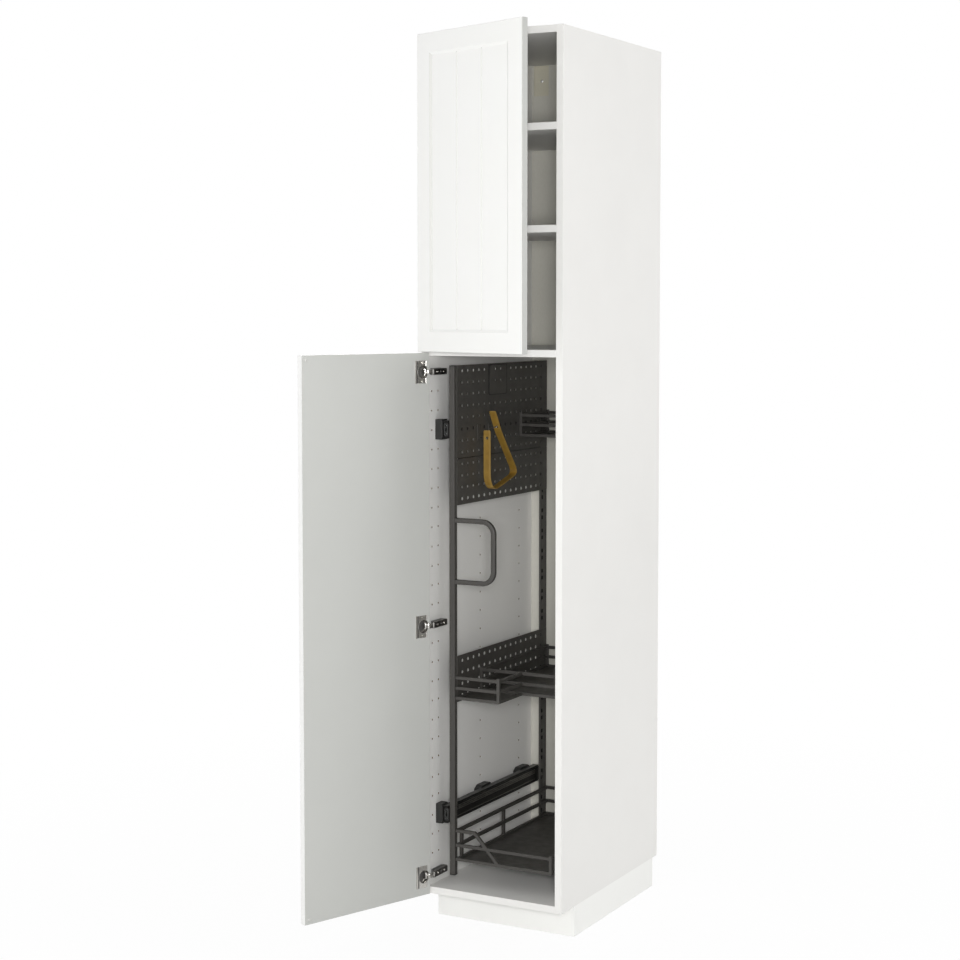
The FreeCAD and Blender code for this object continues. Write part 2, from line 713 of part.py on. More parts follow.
def shut_link(z):
    """Return the cranked link of one hinge in its shut place."""
    start = cup_pivot()
    low = (INNER_LEFT + LINK_CRANK_LOW[0], FRONT + LINK_CRANK_LOW[1])
    high = (INNER_LEFT + LINK_CRANK_HIGH[0], FRONT + LINK_CRANK_HIGH[1])
    end = arm_pivot()
    z0 = z - LINK_HALF_HEIGHT
    z1 = z + LINK_HALF_HEIGHT
    path = (start, low, high, end)
    outline = band_outline(path, LINK_THICKNESS)
    pieces = [plan_prism(outline, z0, z1)]
    radius = bore_radius(HINGE_PIN_RADIUS, HINGE_PIN_PLAY, HINGE_PIN_SIDES)
    bores = []
    for x, y in (start, end):
        pieces.append(rod(x, y, z0, z1, LINK_EYE_RADIUS, LINK_EYE_SIDES))
        bores.append(rod(x, y, z0, z1, radius, HINGE_PIN_SIDES))
    return drilled(joined(pieces), bores)


def hinge_pin(centre, z, reach):
    """Return the upright pin of one hinge pivot."""
    return rod(centre[0], centre[1], z - reach, z + reach, HINGE_PIN_RADIUS, HINGE_PIN_SIDES)


def shut_cup(z):
    """Return the cup of one hinge with its ears and pin, door shut."""
    x = cup_middle()
    y = door_back()
    body = front_disc(x, y - CUP_DEPTH, y, z, CUP_RADIUS, CUP_SIDES)
    half_x = CUP_FLANGE_HALF_WIDTH
    half_z = CUP_FLANGE_HALF_HEIGHT
    flange = block(x - half_x, x + half_x, y, y + CUP_FLANGE_THICKNESS, z - half_z, z + half_z)
    mouth = y + CUP_FLANGE_THICKNESS
    floor = y - CUP_DEPTH + CUP_FLOOR
    lip = front_disc(x, y, mouth, z, CUP_RADIUS, CUP_SIDES)
    hollow = front_disc(x, floor, mouth, z, CUP_BORE_RADIUS, CUP_SIDES)
    shell = drilled(joined([body, flange, lip]), [hollow])
    pivot = cup_pivot()
    pieces = [shell]
    for low, high in ((-CUP_EAR_OUTER, -CUP_EAR_INNER), (CUP_EAR_INNER, CUP_EAR_OUTER)):
        x0 = pivot[0] - CUP_EAR_BACK
        x1 = pivot[0] + CUP_EAR_FRONT
        y1 = pivot[1] + CUP_EAR_RISE
        pieces.append(block(x0, x1, floor, y1, z + low, z + high))
    pieces.append(hinge_pin(pivot, z, CUP_EAR_OUTER))
    return joined(pieces)


def band_outline(path, thickness):
    """Return the outline of a band of even thickness along an open path."""
    half = thickness / 2
    left = []
    right = []
    count = len(path)
    for index, (a, b) in enumerate(path):
        previous = path[max(index - 1, 0)]
        following = path[min(index + 1, count - 1)]
        before = unit((a - previous[0], b - previous[1]))
        after = unit((following[0] - a, following[1] - b))
        if index == 0:
            before = after
        if index == count - 1:
            after = before
        normal = unit((-(before[1] + after[1]), before[0] + after[0]))
        reach = half / (normal[0] * -before[1] + normal[1] * before[0])
        left.append((a + normal[0] * reach, b + normal[1] * reach))
        right.append((a - normal[0] * reach, b - normal[1] * reach))
    return left + right[::-1]


def unit(pair):
    """Return a pair scaled to length one, or unchanged when it is zero."""
    size = math.hypot(pair[0], pair[1])
    if size == 0:
        return pair
    return (pair[0] / size, pair[1] / size)


def rounded_path(points, bends, steps):
    """Return a path whose corners are eased by the given distances."""
    path = []
    for point, bend, index in zip(points, bends, range(len(points))):
        if bend == 0:
            path.append(point)
            continue
        back = unit((points[index - 1][0] - point[0], points[index - 1][1] - point[1]))
        ahead = unit((points[index + 1][0] - point[0], points[index + 1][1] - point[1]))
        start = (point[0] + back[0] * bend, point[1] + back[1] * bend)
        end = (point[0] + ahead[0] * bend, point[1] + ahead[1] * bend)
        for step in range(steps + 1):
            share = step / steps
            first = (1 - share) ** 2
            second = 2 * share * (1 - share)
            third = share ** 2
            a = first * start[0] + second * point[0] + third * end[0]
            b = first * start[1] + second * point[1] + third * end[1]
            path.append((a, b))
    return path


def channel(web_x, depth, height, middle, side):
    """Return a runner profile, its flanges on the given side of its web."""
    y0 = RUNNER_FRONT
    y1 = RUNNER_REAR
    half = height / 2
    web_end = web_x + side * RUNNER_SHEET
    flange_end = web_x + side * depth
    web = block(min(web_x, web_end), max(web_x, web_end), y0, y1, middle - half, middle + half)
    pieces = [web]
    for low in (middle - half, middle + half - RUNNER_SHEET):
        x0 = min(web_x, flange_end)
        x1 = max(web_x, flange_end)
        pieces.append(block(x0, x1, y0, y1, low, low + RUNNER_SHEET))
    return joined(pieces)


def runner_outer(middle):
    """Return the profile fixed to the cabinet."""
    return channel(INNER_LEFT + RUNNER_STANDOFF, RUNNER_OUTER_DEPTH, RUNNER_OUTER_HEIGHT, middle, 1)


def runner_middle(middle):
    """Return the profile that travels half way."""
    web_x = INNER_LEFT + RUNNER_STANDOFF + RUNNER_SHEET + RUNNER_PLAY
    return channel(web_x, RUNNER_MIDDLE_DEPTH, RUNNER_MIDDLE_HEIGHT, middle, 1)


def runner_inner(middle):
    """Return the profile that carries the pull-out."""
    return channel(POST_LEFT, RUNNER_INNER_DEPTH, RUNNER_INNER_HEIGHT, middle, -1)


def runner_brackets():
    """Return the brackets between the side panel and the runners."""
    solids = []
    x0 = INNER_LEFT
    x1 = x0 + RUNNER_STANDOFF
    for middle in RUNNER_HEIGHTS:
        y0 = RUNNER_FRONT
        y1 = y0 + BRACKET_LENGTH
        half = BRACKET_HALF_HEIGHT
        inner = half - BRACKET_WALL
        front = y0 + BRACKET_WALL
        shell = block(x0, x1, y0, y1, middle - half, middle + half)
        left = x0 + BRACKET_WALL
        right = x1 - BRACKET_WALL
        hollow = block(left, right, front, y1, middle - inner, middle + inner)
        solids.append(drilled(shell, [hollow]))
        for setback in HOLE_SETBACKS[2:]:
            y = FRONT + setback
            outline = ((y - RUNNER_CLIP_BASE_HALF, middle - RUNNER_CLIP_BOTTOM),
                       (y + RUNNER_CLIP_BASE_HALF, middle - RUNNER_CLIP_BOTTOM),
                       (y + RUNNER_CLIP_BASE_HALF, middle + RUNNER_CLIP_SHOULDER),
                       (y + RUNNER_CLIP_TOP_HALF, middle + RUNNER_CLIP_TOP),
                       (y - RUNNER_CLIP_TOP_HALF, middle + RUNNER_CLIP_TOP),
                       (y - RUNNER_CLIP_BASE_HALF, middle + RUNNER_CLIP_SHOULDER))
            solids.append(side_prism(outline, x0, x1))
    return solids


def front_post():
    """Return the square tube at the front of the pull-out."""
    y0 = POST_FRONT
    y1 = y0 + FRONT_POST_DEPTH
    z0 = POST_BOTTOM + POST_CAP_THICKNESS
    z1 = POST_TOP - POST_CAP_THICKNESS
    tube = block(POST_LEFT, POST_RIGHT, y0, y1, z0, z1)
    wall = POST_WALL
    hollow = block(POST_LEFT + wall, POST_RIGHT - wall, y0 + wall, y1 - wall, z0, z1)
    return drilled(tube, [hollow])


def post_caps():
    """Return the plugs that close the front post."""
    y0 = POST_FRONT
    y1 = y0 + FRONT_POST_DEPTH
    lower_top = POST_BOTTOM + POST_CAP_THICKNESS
    lower = block(POST_LEFT, POST_RIGHT, y0, y1, POST_BOTTOM, lower_top)
    upper = block(POST_LEFT, POST_RIGHT, y0, y1, POST_TOP - POST_CAP_THICKNESS, POST_TOP)
    return [lower, upper]


def rear_post():
    """Return the slotted channel at the rear of the pull-out."""
    y0 = REAR_POST_FRONT
    y1 = y0 + REAR_POST_DEPTH
    web = block(POST_RIGHT - POST_WALL, POST_RIGHT, y0, y1, POST_BOTTOM, POST_TOP)
    fore = block(POST_LEFT, POST_RIGHT, y0, y0 + POST_WALL, POST_BOTTOM, POST_TOP)
    aft = block(POST_LEFT, POST_RIGHT, y1 - POST_WALL, y1, POST_BOTTOM, POST_TOP)
    slots = []
    middle = y0 + SLOT_FROM_FRONT
    first = POST_BOTTOM + SLOT_RISE
    room = POST_TOP - SLOT_HEIGHT - first
    for index in range(math.floor(room / SLOT_PITCH) + 1):
        z = first + index * SLOT_PITCH
        low = z - SLOT_HEIGHT / 2
        y2 = middle - SLOT_WIDTH / 2
        slots.append(block(POST_LEFT, POST_RIGHT, y2, y2 + SLOT_WIDTH, low, low + SLOT_HEIGHT))
    return drilled(joined([web, fore, aft]), slots)


def perforation_y(column):
    """Return the Y place of a column of perforations."""
    return SHEET_FRONT + PERFORATION_INSET + column * PERFORATION_PITCH


def perforation_z(row):
    """Return the height of a row of perforations, counted from the top."""
    return POST_TOP - TOP_ROW_DROP - row * PERFORATION_PITCH


def perforated(y0, y1, z0, z1, x0, x1, places):
    """Return a flat sheet with few-sided holes at (y, z) places."""
    outline = Part.makePolygon([vec(x0, y0, z0), vec(x0, y1, z0), vec(x0, y1, z1), vec(x0, y0, z1), vec(x0, y0, z0)])
    radius = equal_area_radius(PERFORATION_RADIUS, PERFORATION_SIDES)
    wires = [outline]
    for y, z in places:
        corners = [vec(x0, a, b) for a, b in ring_points(y, z, radius, PERFORATION_SIDES)]
        wires.append(Part.makePolygon(corners + [corners[0]]))
    return Part.Face(wires, "Part::FaceMakerBullseye").extrude(vec(x1 - x0, 0, 0))


def organiser_sheet(z0, z1, rows):
    """Return one perforated sheet of the pull-out."""
    room = REAR_POST_FRONT - PERFORATION_RADIUS - perforation_y(0)
    columns = range(math.floor(room / PERFORATION_PITCH) + 1)
    places = [(perforation_y(column), z) for column in columns for z in rows]
    return perforated(SHEET_FRONT, SHEET_REAR, z0, z1, POST_RIGHT, SHEET_RIGHT, places)


def top_sheet_bottom():
    """Return the height of the seam between the two upper sheets."""
    return perforation_z(TOP_SHEET_ROWS) + PERFORATION_PITCH / 2


def top_sheet():
    """Return the upper perforated sheet."""
    rows = [perforation_z(row) for row in range(TOP_SHEET_ROWS)]
    return organiser_sheet(top_sheet_bottom() + SHEET_GAP / 2, POST_TOP, rows)


def second_sheet_bottom():
    """Return the height of the second sheet's lower edge."""
    return top_sheet_bottom() - SECOND_SHEET_ROWS * PERFORATION_PITCH


def second_sheet():
    """Return the perforated sheet under the upper one."""
    numbers = range(TOP_SHEET_ROWS, TOP_SHEET_ROWS + SECOND_SHEET_ROWS)
    rows = [perforation_z(row) for row in numbers]
    return organiser_sheet(second_sheet_bottom(), top_sheet_bottom() - SHEET_GAP / 2, rows)


def middle_sheet():
    """Return the perforated sheet behind the middle baskets."""
    rows = [MIDDLE_SHEET_TOP - TOP_ROW_DROP - row * PERFORATION_PITCH for row in range(MIDDLE_SHEET_ROWS)]
    z0 = MIDDLE_SHEET_TOP - MIDDLE_SHEET_ROWS * PERFORATION_PITCH
    return organiser_sheet(z0, MIDDLE_SHEET_TOP, rows)


def holder_plate():
    """Return the small accessory plate on the upper sheet."""
    y0 = perforation_y(HOLDER_FIRST_COLUMN) - HOLDER_EDGE
    z1 = POST_TOP - HOLDER_TOP_DROP
    z0 = z1 - HOLDER_HEIGHT
    places = [(perforation_y(column), perforation_z(row)) for column in HOLDER_COLUMNS for row in HOLDER_ROWS]
    return perforated(y0, y0 + HOLDER_WIDTH, z0, z1, SHEET_RIGHT, SHEET_RIGHT + SHEET, places)


def handle():
    """Return the bent square bar used to pull the organiser out."""
    y0 = BASKET_FRONT - HANDLE_BAR / 2
    top = second_sheet_bottom() - HANDLE_DROP
    loops = []
    for inset in (0, HANDLE_BAR):
        low = top - HANDLE_HEIGHT + inset
        high = top - inset
        right = POST_RIGHT + HANDLE_REACH - inset
        radius = HANDLE_CORNER - inset
        points = [vec(POST_RIGHT, y0, low)]
        for centre_z, first in ((low + radius, -math.pi / 2), (high - radius, 0)):
            for step in range(HANDLE_CORNER_STEPS + 1):
                angle = first + math.pi / 2 * step / HANDLE_CORNER_STEPS
                x = right - radius + radius * math.cos(angle)
                z = centre_z + radius * math.sin(angle)
                points.append(vec(x, y0, z))
        points.append(vec(POST_RIGHT, y0, high))
        loops.append(points)
    outline = loops[0] + loops[1][::-1]
    return face_of(outline).extrude(vec(0, HANDLE_BAR, 0))


def bar_x(x0, x1, y, z):
    """Return a square bar along X."""
    half = BAR / 2
    return block(x0, x1, y - half, y + half, z - half, z + half)


def bar_y(x, y0, y1, z):
    """Return a square bar along Y."""
    half = BAR / 2
    return block(x - half, x + half, y0, y1, z - half, z + half)


def bar_z(x, y, z0, z1):
    """Return an upright square bar."""
    half = BAR / 2
    return block(x - half, x + half, y - half, y + half, z0, z1)


def floor_sheet(x0, x1, y0, y1, rail):
    """Return the sheet that closes a basket's bottom inside its rails."""
    z0 = rail - BAR / 2
    return block(x0, x1, y0, y1, z0, z0 + FLOOR_SHEET)


def low_basket():
    """Return the frame of the bottom basket."""
    half = BAR / 2
    low, middle, high = LOW_BASKET_RAILS
    left = POST_RIGHT + half
    right = BASKET_RIGHT - half
    pieces = []
    for rail in LOW_BASKET_RAILS:
        pieces.append(bar_y(left, BASKET_FRONT - half, BASKET_REAR + half, rail))
        pieces.append(bar_x(POST_RIGHT, BASKET_RIGHT, BASKET_REAR, rail))
    for rail in (low, middle):
        pieces.append(bar_x(POST_RIGHT, BASKET_RIGHT, BASKET_FRONT, rail))
        pieces.append(bar_y(right, BASKET_FRONT - half, BASKET_REAR + half, rail))
    for setback in LOW_BASKET_BARS:
        pieces.append(bar_z(left, FRONT + setback, low, high))
    pieces.append(bar_z(right, BASKET_FRONT, low - half, middle + KNOB_RISE))
    pieces.append(bar_z(right, BASKET_REAR, low - half, high + half))
    slope_start = POST_RIGHT + LOW_BASKET_SLOPE_START
    slope_end = POST_RIGHT + LOW_BASKET_SLOPE_END
    path = ((POST_RIGHT, high), (slope_start, high), (slope_end, low))
    corners = [vec(x, BASKET_FRONT - half, z) for x, z in band_outline(path, BAR)]
    pieces.append(face_of(corners).extrude(vec(0, BAR, 0)))
    return joined(pieces)


def box_basket(x0, x1, y0, y1, rails, sides):
    """Return a basket frame of rails on the named sides, with corner posts."""
    half = BAR / 2
    pieces = []
    for rail in rails:
        if "front" in sides:
            pieces.append(bar_x(x0, x1, y0 + half, rail))
        if "rear" in sides:
            pieces.append(bar_x(x0, x1, y1 - half, rail))
        if "right" in sides:
            pieces.append(bar_y(x1 - half, y0, y1, rail))
        if "left" in sides:
            pieces.append(bar_y(x0 + half, y0, y1, rail))
    top = max(rails) + KNOB_RISE
    bottom = min(rails) - half
    for a, first in ((x0 + half, "left"), (x1 - half, "right")):
        for b, second in ((y0 + half, "front"), (y1 - half, "rear")):
            if first in sides and second in sides:
                pieces.append(bar_z(a, b, bottom, top))
    return joined(pieces)


def rear_basket():
    """Return the wide basket at the rear of the middle level."""
    y0 = FRONT + MIDDLE_SPLIT_SETBACK
    sides = ("left", "front", "right", "rear")
    return box_basket(SHEET_RIGHT, BASKET_RIGHT, y0, BASKET_REAR, MIDDLE_RAILS, sides)


def front_basket():
    """Return the narrow basket at the front of the middle level."""
    x1 = POST_RIGHT + MIDDLE_FRONT_REACH
    y0 = BASKET_FRONT - BAR / 2
    y1 = FRONT + MIDDLE_SPLIT_SETBACK
    half = BAR / 2
    pieces = []
    for rail in MIDDLE_RAILS:
        pieces.append(bar_x(POST_RIGHT, x1, y0 + half, rail))
        pieces.append(bar_y(x1 - half, y0, y1, rail))
    low = min(MIDDLE_RAILS)
    pieces.append(bar_y(SHEET_RIGHT + half, y0 + BAR, y1, low))
    pieces.append(bar_z(x1 - half, y0 + half, low - half, max(MIDDLE_RAILS) + KNOB_RISE))
    return joined(pieces)


def top_basket():
    """Return the basket at the rear of the top level."""
    y0 = BASKET_REAR - TOP_BASKET_DEPTH
    sides = ("left", "front", "right", "rear")
    return box_basket(SHEET_RIGHT, BASKET_RIGHT, y0, BASKET_REAR, TOP_RAILS, sides)


def basket_floors():
    """Return the floors of the four baskets."""
    right = BASKET_RIGHT - BAR
    rear = BASKET_REAR - BAR
    low_left = POST_RIGHT + BAR
    low_front = BASKET_FRONT + BAR / 2
    low_rear = BASKET_REAR - BAR / 2
    left = SHEET_RIGHT + BAR
    split = FRONT + MIDDLE_SPLIT_SETBACK
    front_right = POST_RIGHT + MIDDLE_FRONT_REACH - BAR
    top_front = BASKET_REAR - TOP_BASKET_DEPTH + BAR
    return [
        floor_sheet(low_left, right, low_front, low_rear, LOW_BASKET_RAILS[0]),
        floor_sheet(left, right, split + BAR, rear, MIDDLE_RAILS[0]),
        floor_sheet(left, front_right, low_front, split, MIDDLE_RAILS[0]),
        floor_sheet(left, right, top_front, rear, TOP_RAILS[0]),
    ]


def strap_path():
    """Return the corners of the strap's line as (y, z), from the front hook's hole."""
    y = perforation_y(HOOK_COLUMNS[0])
    z = perforation_z(HOOK_ROW)
    shares = zip(STRAP_DEPTH_SHARES, STRAP_HEIGHT_SHARES)
    return [(y + across * STRAP_SPREAD, z + up * STRAP_DROP) for across, up in shares]


def strap_left():
    """Return the X place of the strap's edge next to the sheet."""
    return SHEET_RIGHT + STRAP_OFFSET


def hook_seats():
    """Return for each hook its bar centre and the strap's normal there."""
    path = strap_path()
    first = unit((path[1][0] - path[0][0], path[1][1] - path[0][1]))
    last = unit((path[-2][0] - path[-1][0], path[-2][1] - path[-1][1]))
    standoff = STRAP_THICKNESS / 2 + STRAP_PLAY + HOOK_BAR / 2
    seats = []
    runs = ((path[0], first, -1), (path[-1], last, 1))
    for (start, along, turn), drop in zip(runs, HOOK_DROPS):
        normal = (turn * along[1], -turn * along[0])
        height = perforation_z(HOOK_ROW) - drop
        share = (height - start[1]) / along[1]
        on_strap = (start[0] + along[0] * share, height)
        centre = (on_strap[0] - normal[0] * standoff, on_strap[1] - normal[1] * standoff)
        seats.append((centre, normal, along, on_strap))
    return seats


def strap():
    """Return the hanging strap with a slot for each hook."""
    path = rounded_path(strap_path(), STRAP_BENDS, STRAP_BEND_STEPS)
    x0 = strap_left()
    x1 = x0 + STRAP_WIDTH
    band = side_prism(band_outline(path, STRAP_THICKNESS), x0, x1)
    slots = []
    for centre, normal, along, on_strap in hook_seats():
        middle = (x0 + x1) / 2
        half = STRAP_SLOT_LENGTH / 2
        start = (on_strap[0] - along[0] * half, on_strap[1] - along[1] * half)
        end = (on_strap[0] + along[0] * half, on_strap[1] + along[1] * half)
        outline = band_outline((start, end), STRAP_THICKNESS + HOOK_BAR)
        low = middle - STRAP_SLOT_WIDTH / 2
        slots.append(side_prism(outline, low, low + STRAP_SLOT_WIDTH))
    return drilled(band, slots)


def strap_hooks():
    """Return the two hooks that carry the strap."""
    solids = []
    middle = strap_left() + STRAP_WIDTH / 2
    for (centre, normal, along, on_strap), column in zip(hook_seats(), HOOK_COLUMNS):
        y = perforation_y(column)
        z = perforation_z(HOOK_ROW)
        x0 = SHEET_RIGHT
        x1 = x0 + HOOK_PLATE_THICKNESS
        half = HOOK_PLATE_WIDTH / 2
        plate = block(x0, x1, y - half, y + half, z - HOOK_PLATE_BELOW, z + HOOK_PLATE_ABOVE)
        tongue = side_stub(POST_RIGHT, x0, y, z, HOOK_TONGUE_RADIUS, HOOK_SIDES)
        head_x = POST_RIGHT - HOOK_TONGUE_HEAD_THICKNESS
        head = side_stub(head_x, POST_RIGHT, y, z, HOOK_TONGUE_HEAD, HOOK_SIDES)
        bar_end = middle + HOOK_PEG_WIDTH / 2
        tail = (centre[0] - along[0] * HOOK_BAR / 2, centre[1] - along[1] * HOOK_BAR / 2)
        lead = (centre[0] + along[0] * HOOK_BAR / 2, centre[1] + along[1] * HOOK_BAR / 2)
        bar = side_prism(band_outline((tail, lead), HOOK_BAR), x0, bar_end)
        reach = STRAP_THICKNESS + HOOK_PEG_LENGTH
        tip = (centre[0] + normal[0] * reach, centre[1] + normal[1] * reach)
        peg = side_prism(band_outline((centre, tip), HOOK_BAR), bar_end - HOOK_PEG_WIDTH, bar_end)
        solids.append(joined([plate, tongue, head, bar, peg]))
    return solids


def build():
    """Write every node of the cabinet."""
    os.makedirs("parts", exist_ok=True)
    left_side = side_panel()
    save("side_panel_left", [left_side])
    save("side_panel_right", [mirrored(left_side)])
    bottom, divider, top = fixed_board_middles()
    save("bottom_panel", [fixed_board(bottom)])
    save("divider_shelf", [fixed_board(divider)])
    save("top_panel", [fixed_board(top)])
    save("shelf_lower", [loose_shelf(SHELF_ROWS[0])])
    save("shelf_upper", [loose_shelf(SHELF_ROWS[1])])
    save("shelf_pins", shelf_pins())
    save("back_panel_lower", [back_panel(BASE_HEIGHT, DIVIDER_MIDDLE - DIVIDER_GAP / 2)])
    save("back_panel_upper", [upper_back_panel()])
    save("back_joint_strip", [joint_strip()])
    save("wall_brackets", wall_plates())
    save("plinth_front", [plinth_front()])
    save("plinth_side_right", [plinth_side()])
    save("plinth_side_left", [mirrored(plinth_side())])
    legs = leg_places()
    save("leg_sleeves", [leg_sleeve(x, y) for x, y in legs.values()])
    for name, (x, y) in legs.items():
        save("foot_" + name, [foot(x, y)])
    fronts = [place for name, place in legs.items() if name.startswith("front")]
    save("plinth_clips", [plinth_clip(x, y) for x, y in fronts])
    build_doors()
    build_runners()
    build_organiser()


def build_doors():
    """Write the doors and their hinges."""
    low = (BASE_HEIGHT + DOOR_REVEAL, DIVIDER_MIDDLE - DOOR_REVEAL)
    high = (DIVIDER_MIDDLE + DOOR_REVEAL, TOP - DOOR_REVEAL)
    doors = (("lower", low, LOWER_HINGE_ROWS, LOWER_DOOR_ANGLE), ("upper", high, UPPER_HINGE_ROWS, UPPER_DOOR_ANGLE))
    for name, (z0, z1), rows, opening in doors:
        heights = [row_height(row) for row in rows]
        door = shut_door(z0, z1, heights)
        save(name + "_door", [door_placed(door, opening)])
        save(name + "_door_bumpers", [door_placed(solid, opening) for solid in bumpers(z0, z1)])
        save(name + "_hinge_plates", [hinge_plate(z) for z in heights])
        save(name + "_hinge_arms", [hinge_arm(z) for z in heights])
        save(name + "_hinge_links", [link_placed(shut_link(z), opening) for z in heights])
        save(name + "_hinge_cups", [door_placed(shut_cup(z), opening) for z in heights])


def build_runners():
    """Write the telescopic runners and their brackets."""
    save("runner_brackets", runner_brackets())
    for name, middle in zip(("lower", "upper"), RUNNER_HEIGHTS):
        save(name + "_runner_outer", [runner_outer(middle)])
        save(name + "_runner_middle", [runner_middle(middle)])
        save(name + "_runner_inner", [runner_inner(middle)])


def build_organiser():
    """Write the pull-out organiser."""
    save("front_post", [front_post()])
    save("front_post_caps", post_caps())
    save("rear_post", [rear_post()])
    save("pull_handle", [handle()])
    save("organiser_sheet_top", [top_sheet()])
    save("organiser_sheet_second", [second_sheet()])
    save("organiser_sheet_middle", [middle_sheet()])
    save("holder_plate", [holder_plate()])
    save("basket_bottom", [low_basket()])
    save("basket_middle_rear", [rear_basket()])
    save("basket_middle_front", [front_basket()])
    save("basket_top", [top_basket()])
    save("basket_floors", basket_floors())
    save("strap_hooks", strap_hooks())
    save("hanging_strap", [strap()])


build()
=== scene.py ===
"""A tall fitted kitchen cabinet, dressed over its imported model."""
import json
import logging
import math
from dataclasses import dataclass, field
from enum import Enum
from typing import Sequence

import bmesh
import bpy
from mathutils import Matrix, Vector


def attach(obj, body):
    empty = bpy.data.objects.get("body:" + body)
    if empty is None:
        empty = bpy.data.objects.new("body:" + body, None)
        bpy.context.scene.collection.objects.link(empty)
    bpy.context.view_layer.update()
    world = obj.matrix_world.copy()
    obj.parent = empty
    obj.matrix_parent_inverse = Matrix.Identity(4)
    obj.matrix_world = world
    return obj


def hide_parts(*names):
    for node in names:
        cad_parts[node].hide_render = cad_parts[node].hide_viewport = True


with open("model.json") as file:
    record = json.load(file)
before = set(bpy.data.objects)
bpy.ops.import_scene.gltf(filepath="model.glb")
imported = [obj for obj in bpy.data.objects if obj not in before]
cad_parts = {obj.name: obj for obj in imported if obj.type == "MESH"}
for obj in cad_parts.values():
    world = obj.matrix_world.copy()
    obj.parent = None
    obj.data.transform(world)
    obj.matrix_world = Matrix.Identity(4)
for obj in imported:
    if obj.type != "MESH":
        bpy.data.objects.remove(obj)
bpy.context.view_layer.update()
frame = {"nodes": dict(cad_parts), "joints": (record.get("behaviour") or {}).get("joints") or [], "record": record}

LOG = logging.getLogger("cabinet")
MM = 0.001
WHITE = (1.0, 1.0, 1.0, 1.0)
MERGE_WITHIN = 0.000002
WELD_WITHIN = 0.00001
BEVEL_FROM = 25.0
Point = tuple[float, float]
Place = tuple[float, float, float]
Colour = tuple[float, float, float]


class Axis(Enum):
    """The direction that an outline is drawn out along."""

    X = 0
    Y = 1
    Z = 2

    def spot(self, a: float, b: float, depth: float) -> Vector:
        """Return the place, in metres, of an outline point at a depth.

        Args:
            a: First coordinate of the outline, in millimetres.
            b: Second coordinate of the outline, in millimetres.
            depth: Coordinate along the axis, in millimetres.

        Returns:
            The place as a vector in metres.
        """
        spots = {Axis.X: (depth, a, b), Axis.Y: (a, depth, b), Axis.Z: (a, b, depth)}
        return Vector(spots[self]) * MM


class Slot(Enum):
    """The finishes that the record names."""

    BOARD = "white_board"
    DOOR = "white_door"
    BACK = "back_board"
    WHITE_PLASTIC = "white_plastic"
    STEEL = "steel"
    HINGE = "hinge_dark"
    NICKEL = "nickel"
    RUNNER = "runner_black"
    COAT = "dark_metal"
    PLASTIC = "dark_plastic"
    STRAP = "strap"


class Body(Enum):
    """The moving bodies of the cabinet."""

    CARCASS = "carcass"
    LOWER_LINKS = "lower_links"
    LOWER_DOOR = "lower_door"
    UPPER_LINKS = "upper_links"
    UPPER_DOOR = "upper_door"
    PULL_OUT = "pull_out"
    FOOT_FRONT_LEFT = "foot_front_left"
    FOOT_FRONT_RIGHT = "foot_front_right"
    FOOT_REAR_LEFT = "foot_rear_left"
    FOOT_REAR_RIGHT = "foot_rear_right"


# ---------------------------------------------------------------- outlines


def circle(a: float, b: float, radius: float, count: int, start: float = 0.0) -> list[Point]:
    """Return evenly spaced points of a circle.

    Args:
        a: First coordinate of the centre.
        b: Second coordinate of the centre.
        radius: Radius of the circle.
        count: Number of points.
        start: Angle of the first point in radians.

    Returns:
        The points, anticlockwise.
    """
    step = 2 * math.pi / count
    return [(a + radius * math.cos(start + i * step), b + radius * math.sin(start + i * step)) for i in range(count)]


def rounded_box(a0: float, b0: float, a1: float, b1: float, radius: float, steps: int = 4) -> list[Point]:
    """Return the outline of a rectangle with rounded corners.

    Args:
        a0: Lowest first coordinate.
        b0: Lowest second coordinate.
        a1: Highest first coordinate.
        b1: Highest second coordinate.
        radius: Corner radius.
        steps: Steps in each corner.

    Returns:
        The points, anticlockwise.
    """
    corners = ((a1 - radius, b0 + radius, -90), (a1 - radius, b1 - radius, 0), (a0 + radius, b1 - radius, 90),
               (a0 + radius, b0 + radius, 180))
    points = []
    for a, b, first in corners:
        for step in range(steps + 1):
            angle = math.radians(first + 90 * step / steps)
            points.append((a + radius * math.cos(angle), b + radius * math.sin(angle)))
    return points


def eased(points: Sequence[Point], bends: Sequence[float], steps: int) -> list[Point]:
    """Return a line whose corners are rounded off.

    Args:
        points: The corners.
        bends: How far from each corner its curve starts.
        steps: Steps in each curve.

    Returns:
        The points of the rounded line.
    """
    path = []
    for index, (point, bend) in enumerate(zip(points, bends)):
        if bend == 0:
            path.append(point)
            continue
        here = Vector(point)
        start = here + (Vector(points[index - 1]) - here).normalized() * bend
        end = here + (Vector(points[index + 1]) - here).normalized() * bend
        for step in range(steps + 1):
            share = step / steps
            spot = start * (1 - share) ** 2 + here * 2 * share * (1 - share) + end * share ** 2
            path.append((spot.x, spot.y))
    return path


# ---------------------------------------------------------------- solids


def loop_of(bm: bmesh.types.BMesh, points: Sequence[Point], depth: float, axis: Axis) -> list[bmesh.types.BMVert]:
    """Return new vertices along an outline.

    Args:
        bm: The mesh being built.
        points: The outline in millimetres.
        depth: Where it lies along the axis.
        axis: The direction that the outline faces.

    Returns:
        The vertices, in the order of the points.
    """
    return [bm.verts.new(axis.spot(a, b, depth)) for a, b in points]


def edges_of(bm: bmesh.types.BMesh, loop: Sequence[bmesh.types.BMVert]) -> list[bmesh.types.BMEdge]:
    """Return the edges that already join the vertices of a closed loop.

    Args:
        bm: The mesh being built.
        loop: The vertices, in order.

    Returns:
        One edge for each vertex.
    """
    return [bm.edges.get((loop[i], loop[(i + 1) % len(loop)])) for i in range(len(loop))]


